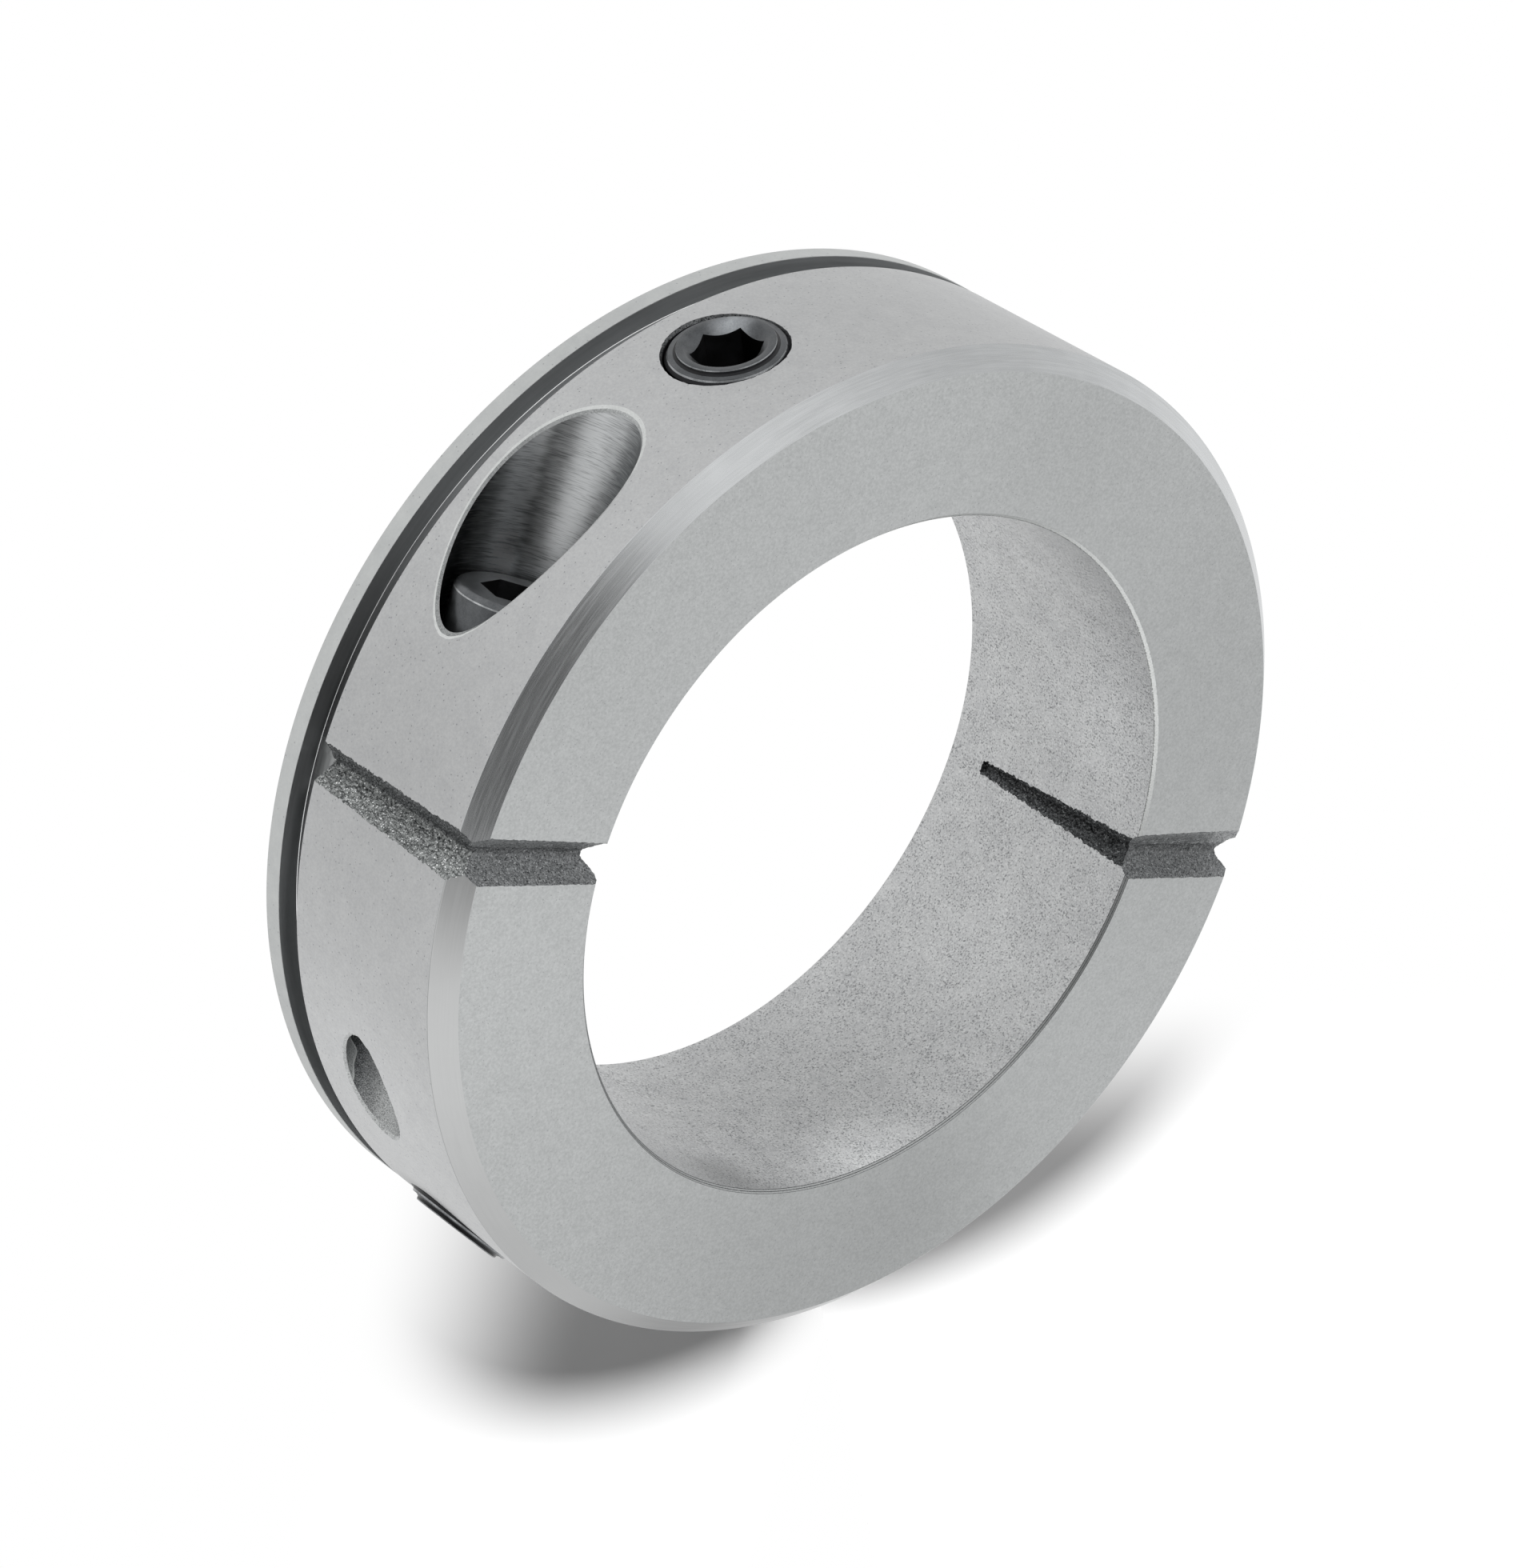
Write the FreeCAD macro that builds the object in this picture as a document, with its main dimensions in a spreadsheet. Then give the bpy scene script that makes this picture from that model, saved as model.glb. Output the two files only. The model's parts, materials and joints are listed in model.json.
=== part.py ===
# Split thrust collar: two fracture-split steel halves, two clamp screws across the split and
# two radial set screws.
# Frame: the collar lies on its rear thrust face. The origin is the centre of that face, +Z runs
# along the bore to the notched front face, X runs along the split and Y across it.
import FreeCAD, Part
import math
import os
import Sketcher

Vector = FreeCAD.Vector
Rotation = FreeCAD.Rotation
Placement = FreeCAD.Placement

# Driving dimensions: alias, value (millimetres or degrees) and meaning
SIZES = [
    ("outer_diameter", 88.0, "outside of the collar"),
    ("bore_diameter", 60.0, "shaft bore"),
    ("collar_width", 24.0, "rear thrust face to front face"),
    ("rim_thickness", 2.1, "thin flange at the rear"),
    ("groove_width", 2.5, "turned groove behind the flange"),
    ("groove_depth", 1.8, "turned groove, measured from the outside"),
    ("front_chamfer", 1.7, "front outer edge"),
    ("rear_chamfer", 0.4, "rear outer edge"),
    ("bore_chamfer", 0.3, "both bore edges"),
    ("face_notch_width", 3.8, "split notch across the front face"),
    ("face_notch_depth", 1.8, "split notch across the front face"),
    ("face_notch_root", 0.45, "rounding at the root of that notch"),
    ("side_notch_width", 4.3, "split notch down the outside, at the front"),
    ("side_notch_depth", 2.0, "split notch down the outside, at the front"),
    ("side_notch_depth_rear", 1.5, "the same notch where it meets the groove"),
    ("side_notch_root", 0.6, "rounding at the root of that notch"),
    ("bore_notch_width", 2.8, "split notch along the bore, at the front"),
    ("bore_notch_depth", 1.2, "split notch along the bore, at the front"),
    ("bore_notch_depth_rear", 0.5, "the same notch at its blunt end"),
    ("bore_notch_root", 0.3, "rounding at the root of that notch"),
    ("bore_notch_end", 4.3, "height of the blunt end over the rear face"),
    ("seat_wall", 1.4, "metal between the groove and a clamp screw recess"),
    ("screw_wall", 2.7, "metal between the bore and a clamp screw"),
    ("screw_diameter", 6.0, "clamp screw thread"),
    ("screw_length", 25.0, "clamp screw under its head"),
    ("screw_head_diameter", 10.0, "clamp screw head"),
    ("screw_head_height", 6.0, "clamp screw head"),
    ("screw_key", 5.0, "clamp screw socket across flats"),
    ("screw_key_depth", 3.0, "clamp screw socket depth"),
    ("screw_edge", 0.5, "bevels on the screw head and tip"),
    ("seat_reach", 17.4, "split face to the head seat, plus half the recess over it"),
    ("shank_hole", 6.6, "clearance hole for the clamp screw"),
    ("counterbore_diameter", 12.0, "recess for the clamp screw head"),
    ("counterbore_lip", 0.4, "bevel round the mouth of that recess"),
    ("thread_clearance", 0.05, "radial gap between a screw and its tapped hole"),
    ("exit_lip", 0.2, "bevel round the mouth of a tapped hole"),
    ("set_spread_upper", 61.0, "upper set screw, from the left end of the split, in degrees"),
    ("set_spread_lower", 60.0, "lower set screw, from the left end of the split, in degrees"),
    ("set_height", 11.7, "set screws over the rear face"),
    ("set_diameter", 10.0, "set screw thread"),
    ("set_length", 12.0, "set screw"),
    ("set_key", 5.0, "set screw socket across flats"),
    ("set_key_depth", 6.0, "set screw socket depth"),
    ("set_bevel", 0.3, "bevel on the outer end of the set screw thread"),
    ("set_collar_diameter", 8.1, "raised ring round the set screw socket"),
    ("set_collar_height", 0.25, "that ring over the end of the thread"),
    ("set_dish_diameter", 6.8, "lead-in round the set screw socket"),
    ("set_point_diameter", 6.0, "flat point of a set screw"),
    ("set_standout_upper", 0.3, "upper set screw past the outside"),
    ("set_standout_lower", 0.6, "lower set screw past the outside"),
]


# Formulas that several pieces share
OUTSIDE = "(sizes.outer_diameter / 2)"
BORE = "(sizes.bore_diameter / 2)"
GROOVE_FLOOR = "(sizes.outer_diameter / 2 - sizes.groove_depth)"
GROOVE_FRONT = "(sizes.rim_thickness + sizes.groove_width)"
SCREW_HEIGHT = "(%s + sizes.seat_wall + sizes.counterbore_diameter / 2)" % GROOVE_FRONT
SEAT = "(sizes.seat_reach - sizes.counterbore_diameter / 2)"
SCREW_ACROSS = "(sizes.bore_diameter / 2 + sizes.screw_wall + sizes.screw_diameter / 2)"
TAPPED = "(sizes.screw_diameter / 2 + sizes.thread_clearance)"
SET_TAPPED = "(sizes.set_diameter / 2 + sizes.thread_clearance)"
NOTCH_SPARE = 0.6


def make_sheet(doc):
    """Put the driving dimensions in a spreadsheet, each under its alias."""
    sheet = doc.addObject("Spreadsheet::Sheet", "sizes")
    for row, (alias, value, meaning) in enumerate(SIZES, start=1):
        sheet.set("A%d" % row, meaning)
        sheet.set("B%d" % row, str(value))
        sheet.setAlias("B%d" % row, alias)
    doc.recompute()
    return sheet


def measure(item, formula):
    """Work out a formula of the sheet's aliases as a plain number."""
    result = item.evalExpression(formula)
    return float(getattr(result, "Value", result))


def new_body(doc, name):
    """Start a sub-part whose label names its file."""
    body = doc.addObject("PartDesign::Body", name)
    body.Label = name
    return body


def sketch_on(body, role, name, offset=None, turn=None, shift=None):
    """Attach a sketch to an origin plane of its own body, moved and turned by formulas."""
    plane = [item for item in body.Origin.OriginFeatures if item.Role == role][0]
    sketch = body.newObject("Sketcher::SketchObject", name)
    sketch.AttachmentSupport = (plane, [""])
    sketch.MapMode = "FlatFace"
    if turn is not None:
        sketch.AttachmentOffset = Placement(Vector(0, 0, 0), Rotation(Vector(0, 1, 0), 1.0))
        sketch.setExpression("AttachmentOffset.Rotation.Angle", turn)
    if shift is not None:
        sketch.setExpression("AttachmentOffset.Base.x", shift)
    if offset is not None:
        sketch.setExpression("AttachmentOffset.Base.z", offset)
    return sketch


def hold(sketch, geometry, end, kind, formula):
    """Fix one coordinate of a sketch point by its formula, measured from the sketch's origin."""
    start = measure(sketch, formula)
    index = sketch.addConstraint(Sketcher.Constraint(kind, -1, 1, geometry, end, start))
    sketch.setExpression("Constraints[%d]" % index, formula)


def pin(sketch, geometry, end, spot):
    """Fix both coordinates of a sketch point by their formulas."""
    hold(sketch, geometry, end, "DistanceX", spot[0])
    hold(sketch, geometry, end, "DistanceY", spot[1])


def add_line(sketch, first, second):
    start = Vector(measure(sketch, first[0]), measure(sketch, first[1]), 0)
    stop = Vector(measure(sketch, second[0]), measure(sketch, second[1]), 0)
    return sketch.addGeometry(Part.LineSegment(start, stop), False)


def polygon(sketch, spots):
    """Draw a closed outline whose corners are all given by formulas."""
    lines = []
    for index, spot in enumerate(spots):
        lines.append(add_line(sketch, spot, spots[(index + 1) % len(spots)]))
    for index, line in enumerate(lines):
        following = lines[(index + 1) % len(lines)]
        sketch.addConstraint(Sketcher.Constraint("Coincident", line, 2, following, 1))
        pin(sketch, line, 1, spots[index])


def circle(sketch, spot, radius):
    """Draw a circle with its centre and radius given by formulas."""
    centre = Vector(measure(sketch, spot[0]), measure(sketch, spot[1]), 0)
    start = measure(sketch, radius)
    ring = sketch.addGeometry(Part.Circle(centre, Vector(0, 0, 1), start), False)
    pin(sketch, ring, 3, spot)
    index = sketch.addConstraint(Sketcher.Constraint("Radius", ring, start))
    sketch.setExpression("Constraints[%d]" % index, radius)


def hexagon(sketch, across_flats):
    """Draw a hexagonal key socket round the sketch's origin."""
    corner = across_flats + " / 2 / cos(30)"
    spots = []
    for step in range(6):
        spots.append(("%s * cos(%d)" % (corner, 60 * step), "%s * sin(%d)" % (corner, 60 * step)))
    polygon(sketch, spots)


def notch(sketch, surface, inward, role, depth_first):
    """Draw a V notch with a rounded root, symmetrical about the split.

    surface is the coordinate of the cut face, and inward is the sign that points into the metal.
    role names the notch's sizes. depth_first is true where the depth runs along the first axis.
    The flanks run on past the surface, so that the cut leaves no thin step there.
    """
    def spot(depth, side):
        level = "%s %s (%s)" % (surface, inward, depth)
        return (level, side) if depth_first else (side, level)

    half = "(sizes.%s_width / 2)" % role
    radius = "sizes.%s_root" % role
    centre = "(sizes.%s_depth - %s)" % (role, radius)
    lean = "(atan2(%s; %s) - asin(%s / hypot(%s; %s)))" % (half, centre, radius, half, centre)
    outer = "(%s + %s * tan(%s))" % (half, NOTCH_SPARE, lean)
    touch_depth = "%s + %s * sin(%s)" % (centre, radius, lean)
    touch_side = "%s * cos(%s)" % (radius, lean)

    def place(depth, side):
        level, across = spot(depth, side)
        return Vector(measure(sketch, level), measure(sketch, across), 0)

    outer_low = spot("-%s" % NOTCH_SPARE, "-" + outer)
    outer_high = spot("-%s" % NOTCH_SPARE, outer)
    touch_high = place(touch_depth, touch_side)
    touch_low = place(touch_depth, "-" + touch_side)
    bottom = place("sizes.%s_depth" % role, "0")

    back = add_line(sketch, outer_low, outer_high)
    outer_place = place("-%s" % NOTCH_SPARE, outer)
    flank_high = sketch.addGeometry(Part.LineSegment(outer_place, touch_high), False)
    arc = sketch.addGeometry(Part.Arc(touch_high, bottom, touch_low), False)
    outer_place = place("-%s" % NOTCH_SPARE, "-" + outer)
    flank_low = sketch.addGeometry(Part.LineSegment(touch_low, outer_place), False)

    first_end = 1 if sketch.Geometry[arc].StartPoint.distanceToPoint(touch_high) < 0.001 else 2
    last_end = 3 - first_end
    joins = [(back, 2, flank_high, 1), (flank_low, 2, back, 1)]
    joins += [(flank_high, 2, arc, first_end), (flank_low, 1, arc, last_end)]
    for first, first_point, second, second_point in joins:
        sketch.addConstraint(Sketcher.Constraint("Coincident", first, first_point, second, second_point))
    pin(sketch, back, 1, outer_low)
    pin(sketch, back, 2, outer_high)
    pin(sketch, arc, 3, spot(centre, "0"))
    index = sketch.addConstraint(Sketcher.Constraint("Radius", arc, measure(sketch, radius)))
    sketch.setExpression("Constraints[%d]" % index, radius)
    side_axis = "DistanceY" if depth_first else "DistanceX"
    hold(sketch, arc, first_end, side_axis, touch_side)
    hold(sketch, arc, last_end, side_axis, "-" + touch_side)


def cut_through(body, name, sketch, both_ways=False):
    """Cut a sketch's outline right through the body."""
    pocket = body.newObject("PartDesign::Pocket", name)
    pocket.Profile = sketch
    pocket.Type = "ThroughAll"
    if both_ways:
        pocket.SideType = "Symmetric"
    return pocket


def cut_deep(body, name, sketch, depth):
    """Cut a sketch's outline to a depth."""
    pocket = body.newObject("PartDesign::Pocket", name)
    pocket.Profile = sketch
    pocket.setExpression("Length", depth)
    return pocket


def revolve(body, name, sketch, degrees, backwards=False):
    """Turn a sketch about its own upright axis."""
    turned = body.newObject("PartDesign::Revolution", name)
    turned.Profile = sketch
    turned.ReferenceAxis = (sketch, ["V_Axis"])
    turned.Angle = degrees
    turned.Reversed = backwards
    return turned


def half_ring(body, backwards):
    """Turn the collar's section through half a circle, with its flange, groove and bevels."""
    section = sketch_on(body, "XZ_Plane", body.Name + "_section")
    edge = " - sizes.rear_chamfer"
    bevel = " - sizes.front_chamfer"
    polygon(section, [
        (BORE + " + sizes.bore_chamfer", "0"),
        (OUTSIDE + edge, "0"),
        (OUTSIDE, "sizes.rear_chamfer"),
        (OUTSIDE, "sizes.rim_thickness"),
        (GROOVE_FLOOR, "sizes.rim_thickness"),
        (GROOVE_FLOOR, GROOVE_FRONT),
        (OUTSIDE, GROOVE_FRONT),
        (OUTSIDE, "sizes.collar_width" + bevel),
        (OUTSIDE + bevel, "sizes.collar_width"),
        (BORE + " + sizes.bore_chamfer", "sizes.collar_width"),
        (BORE, "sizes.collar_width - sizes.bore_chamfer"),
        (BORE, "sizes.bore_chamfer"),
    ])
    revolve(body, body.Name + "_ring", section, 180.0, backwards)


def both_sides(body, feature):
    """Repeat a cut on the other side of the collar."""
    mirror = body.newObject("PartDesign::Mirrored", feature.Name + "_pair")
    mirror.Originals = [feature]
    plane = [item for item in body.Origin.OriginFeatures if item.Role == "YZ_Plane"][0]
    mirror.MirrorPlane = (plane, [""])
    body.Tip = mirror


def tapered_notch(body, role, surface, inward, rear_height, reach):
    """Cut a notch that gets shallower towards the rear, at both ends of the split.

    rear_height is where the notch has its rear depth, and reach is the height that the cut ends at.
    """
    name = "%s_%s_notch" % (body.Name, role)
    rise = "(sizes.%s_notch_depth - sizes.%s_notch_depth_rear)" % (role, role)
    lean = "atan2(%s; sizes.collar_width - %s)" % (rise, rear_height)
    shape = sketch_on(
        body, "XY_Plane", name + "_shape", offset="sizes.collar_width",
        turn="%s1 * %s" % (inward, lean), shift=surface)
    notch(shape, "0", inward, role + "_notch", True)
    cut = cut_deep(body, name, shape, "(sizes.collar_width - %s) / cos(%s)" % (reach, lean))
    cut.SideType = "Two sides"
    cut.Length2 = 1.0
    both_sides(body, cut)


def split_notches(body):
    """Cut the cast notches that the split runs between."""
    across = sketch_on(body, "YZ_Plane", body.Name + "_face_notch_shape")
    notch(across, "sizes.collar_width", "-", "face_notch", False)
    cut_through(body, body.Name + "_face_notch", across, both_ways=True)
    tapered_notch(body, "side", OUTSIDE, "-", GROOVE_FRONT, "(sizes.rim_thickness + sizes.groove_width / 2)")
    tapered_notch(body, "bore", BORE, "+", "sizes.bore_notch_end", "sizes.bore_notch_end")


def mouth_edges(shape, axis_point, axis, radius, outside):
    """Find the edges where a round hole comes out through the collar's outside."""
    names = []
    for number, edge in enumerate(shape.Edges, start=1):
        if edge.Length < radius:
            continue
        spread = [edge.valueAt(value) for value in edge.ParameterRange]
        first, last = edge.ParameterRange
        spread.append(edge.valueAt((first + last) / 2))
        fits = True
        for place in spread:
            arm = place - axis_point
            off_axis = (arm - axis * arm.dot(axis)).Length
            off_outside = abs(math.hypot(place.x, place.y) - outside)
            if abs(off_axis - radius) > 0.01 or off_outside > 0.01 or arm.dot(axis) < 0:
                fits = False
        if fits:
            names.append("Edge%d" % number)
    return names


def bevel_mouths(doc, body, name, holes, radius, lip):
    """Bevel the mouths of round holes in the collar's outside.

    holes lists a point on each hole's axis and the direction in which the hole leaves the metal.
    """
    doc.recompute()
    base = body.Tip
    outside = measure(body, OUTSIDE)
    edges = []
    for axis_point, axis in holes:
        edges += mouth_edges(base.Shape, axis_point, axis, measure(body, radius), outside)
    bevel = body.newObject("PartDesign::Chamfer", name)
    bevel.Base = (base, edges)
    bevel.setExpression("Size", lip)


def pair_of_holes(body, name, radius, seat=None):
    """Drill a clamp screw hole at each end of the split, along Y, from the split or from a seat."""
    shape = sketch_on(body, "XZ_Plane", name + "_shape", offset=seat)
    circle(shape, ("-" + SCREW_ACROSS, SCREW_HEIGHT), radius)
    circle(shape, (SCREW_ACROSS, SCREW_HEIGHT), radius)
    return shape


def set_screw_hole(body, name, turn):
    """Tap a radial hole through the wall at a bearing from the split."""
    shape = sketch_on(body, "XZ_Plane", name + "_shape", turn=turn)
    circle(shape, ("0", "sizes.set_height"), SET_TAPPED)
    cut_through(body, name, shape)


def screw_axes(body, way):
    """Give a point and a direction for each clamp screw axis."""
    across = measure(body, SCREW_ACROSS)
    middle = measure(body, SCREW_HEIGHT)
    return [(Vector(side * across, 0, middle), Vector(0, way, 0)) for side in (-1, 1)]


def set_axis(body, way):
    """Give a point and a direction for a set screw's axis."""
    spread = "sizes.set_spread_upper" if way > 0 else "sizes.set_spread_lower"
    bearing = math.radians(180.0 - measure(body, spread))
    direction = Vector(math.cos(bearing), way * math.sin(bearing), 0)
    return [(Vector(0, 0, measure(body, "sizes.set_height")), direction)]


def make_upper_half(doc):
    """Build the half that holds the screw heads."""
    body = new_body(doc, "upper_half")
    half_ring(body, False)
    split_notches(body)
    shanks = pair_of_holes(body, "upper_half_shank_holes", "sizes.shank_hole / 2")
    cut_through(body, "upper_half_shanks", shanks)
    seats = pair_of_holes(
        body, "upper_half_counterbores", "sizes.counterbore_diameter / 2", "-" + SEAT)
    cut_through(body, "upper_half_seats", seats)
    set_screw_hole(body, "upper_half_set_hole", "90 - sizes.set_spread_upper")
    bevel_mouths(
        doc, body, "upper_half_lips", screw_axes(body, 1),
        "sizes.counterbore_diameter / 2", "sizes.counterbore_lip")
    bevel_mouths(doc, body, "upper_half_set_lip", set_axis(body, 1), SET_TAPPED, "sizes.exit_lip")
    return body


def make_lower_half(doc):
    """Build the half that the clamp screws thread into."""
    body = new_body(doc, "lower_half")
    half_ring(body, True)
    split_notches(body)
    threads = pair_of_holes(body, "lower_half_thread_holes", TAPPED)
    drilled = cut_through(body, "lower_half_threads", threads)
    drilled.Reversed = True
    set_screw_hole(body, "lower_half_set_hole", "90 + sizes.set_spread_lower")
    bevel_mouths(doc, body, "lower_half_lips", screw_axes(body, -1), TAPPED, "sizes.exit_lip")
    bevel_mouths(doc, body, "lower_half_set_lip", set_axis(body, -1), SET_TAPPED, "sizes.exit_lip")
    return body


def make_clamp_screw(doc, name, side):
    """Build a socket head cap screw and seat its head in the upper half."""
    body = new_body(doc, name)
    outline = sketch_on(body, "XZ_Plane", name + "_outline")
    polygon(outline, [
        ("0", "-sizes.screw_length"),
        ("sizes.screw_diameter / 2 - sizes.screw_edge", "-sizes.screw_length"),
        ("sizes.screw_diameter / 2", "sizes.screw_edge - sizes.screw_length"),
        ("sizes.screw_diameter / 2", "0"),
        ("sizes.screw_head_diameter / 2", "0"),
        ("sizes.screw_head_diameter / 2", "sizes.screw_head_height - sizes.screw_edge"),
        ("sizes.screw_head_diameter / 2 - sizes.screw_edge", "sizes.screw_head_height"),
        ("0", "sizes.screw_head_height"),
    ])
    revolve(body, name + "_blank", outline, 360.0)
    socket = sketch_on(body, "XY_Plane", name + "_socket_shape", offset="sizes.screw_head_height")
    hexagon(socket, "sizes.screw_key")
    cut_deep(body, name + "_socket", socket, "sizes.screw_key_depth")
    body.setExpression("Placement", (
        "placement(vector(%s%s; %s; %s); rotation(vector(1; 0; 0); -90))"
        % (side, SCREW_ACROSS, SEAT, SCREW_HEIGHT)))
    return body


def make_set_screw(doc, name, standout, bearing):
    """Build a flat point socket set screw and turn it into its radial hole."""
    body = new_body(doc, name)
    outline = sketch_on(body, "XZ_Plane", name + "_outline")
    half = "sizes.set_diameter / 2"
    polygon(outline, [
        ("0", "-sizes.set_length"),
        ("sizes.set_point_diameter / 2", "-sizes.set_length"),
        (half, "sizes.set_diameter / 2 - sizes.set_point_diameter / 2 - sizes.set_length"),
        (half, "-sizes.set_collar_height - sizes.set_bevel"),
        (half + " - sizes.set_bevel", "-sizes.set_collar_height"),
        ("sizes.set_collar_diameter / 2", "-sizes.set_collar_height"),
        ("sizes.set_collar_diameter / 2", "0"),
        ("sizes.set_dish_diameter / 2", "0"),
        ("0", "-sizes.set_dish_diameter / 2 * tan(30)"),
    ])
    revolve(body, name + "_blank", outline, 360.0)
    socket = sketch_on(body, "XY_Plane", name + "_socket_shape")
    hexagon(socket, "sizes.set_key")
    cut_deep(body, name + "_socket", socket, "sizes.set_key_depth")
    reach = "(sizes.outer_diameter / 2 + %s)" % standout
    body.setExpression("Placement", (
        "placement(vector(%s * cos(%s); %s * sin(%s); %s); "
        "rotation(vector(0; 0; 1); %s) * rotation(vector(0; 1; 0); 90))"
        % (reach, bearing, reach, bearing, "sizes.set_height", bearing)))
    return body


def check(doc):
    """Stop on any object that did not build."""
    doc.recompute()
    for item in doc.Objects:
        if "Invalid" in item.State or "Error" in item.State:
            raise RuntimeError("did not build: %s" % item.Label)


def export(bodies):
    """Write each sub-part to a file with its label."""
    os.makedirs("parts", exist_ok=True)
    for body in bodies:
        shape = body.Shape
        if shape.isNull() or not shape.isValid() or len(shape.Solids) != 1:
            raise RuntimeError("bad solid: %s" % body.Label)
        shape.exportStep("parts/%s.step" % body.Label)
        print("%s volume %.2f" % (body.Label, shape.Volume))


def main():
    doc = FreeCAD.newDocument("split_thrust_collar")
    make_sheet(doc)
    bodies = [
        make_upper_half(doc),
        make_lower_half(doc),
        make_clamp_screw(doc, "clamp_screw_left", "-"),
        make_clamp_screw(doc, "clamp_screw_right", ""),
        make_set_screw(doc, "set_screw_upper", "sizes.set_standout_upper", "(180 - sizes.set_spread_upper)"),
        make_set_screw(doc, "set_screw_lower", "sizes.set_standout_lower", "(180 + sizes.set_spread_lower)"),
    ]
    check(doc)
    export(bodies)


main()
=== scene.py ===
import json
import logging
import math
from collections.abc import Callable, Iterable, Sequence
from dataclasses import dataclass, field
from enum import Enum

import bmesh
import bpy
from mathutils import Matrix, Vector, noise

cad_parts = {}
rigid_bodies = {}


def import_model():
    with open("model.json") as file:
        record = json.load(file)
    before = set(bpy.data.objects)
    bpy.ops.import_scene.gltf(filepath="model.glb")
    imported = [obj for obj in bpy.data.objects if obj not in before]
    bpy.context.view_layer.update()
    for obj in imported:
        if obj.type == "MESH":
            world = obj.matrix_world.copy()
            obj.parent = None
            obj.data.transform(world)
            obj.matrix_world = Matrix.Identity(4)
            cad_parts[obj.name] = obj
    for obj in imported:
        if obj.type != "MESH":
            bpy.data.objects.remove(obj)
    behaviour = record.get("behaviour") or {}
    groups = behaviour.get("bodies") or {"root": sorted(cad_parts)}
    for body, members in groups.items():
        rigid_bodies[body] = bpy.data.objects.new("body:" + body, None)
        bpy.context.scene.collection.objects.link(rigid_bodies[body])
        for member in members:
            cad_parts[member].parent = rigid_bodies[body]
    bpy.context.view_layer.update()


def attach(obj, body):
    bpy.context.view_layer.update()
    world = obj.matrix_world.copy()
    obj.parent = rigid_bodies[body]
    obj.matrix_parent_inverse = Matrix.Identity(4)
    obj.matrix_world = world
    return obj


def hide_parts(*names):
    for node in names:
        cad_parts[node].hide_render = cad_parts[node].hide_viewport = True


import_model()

MM = 0.001
NOISE_SEED = 5
TINY = 1e-6
LOG = logging.getLogger("split_thrust_collar")

Point = tuple[float, float, float]
Tones = tuple[tuple[float, str], ...]
Socket = bpy.types.NodeSocket

BLUE_BLACK = (0.01, 0.01, 0.012, 1.0)


def tone(hex_code: str) -> tuple[float, float, float, float]:
    """Turn a display colour into a linear one.

    Args:
        hex_code: Six hexadecimal digits, red first.

    Returns:
        Linear red, green, blue and an alpha of one.
    """
    shares = [int(hex_code[at:at + 2], 16) / 255.0 for at in (0, 2, 4)]
    linear = [s / 12.92 if s <= 0.04045 else ((s + 0.055) / 1.055) ** 2.4 for s in shares]
    return linear[0], linear[1], linear[2], 1.0


def grey(level: float) -> tuple[float, float, float, float]:
    """Give a linear grey."""
    return level, level, level, 1.0


def smooth_step(low: float, high: float, value: float) -> float:
    """Rise smoothly from 0 at low to 1 at high."""
    share = min(1.0, max(0.0, (value - low) / (high - low)))
    return share * share * (3.0 - 2.0 * share)


def axes_about(direction: Vector) -> tuple[Vector, Vector, Vector]:
    """Give two directions across an axis and the axis itself."""
    along = direction.normalized()
    first = Vector((0.0, 0.0, 1.0)).cross(along)
    if first.length < TINY:
        first = Vector((1.0, 0.0, 0.0))
    first.normalize()
    return first, along.cross(first), along


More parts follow.
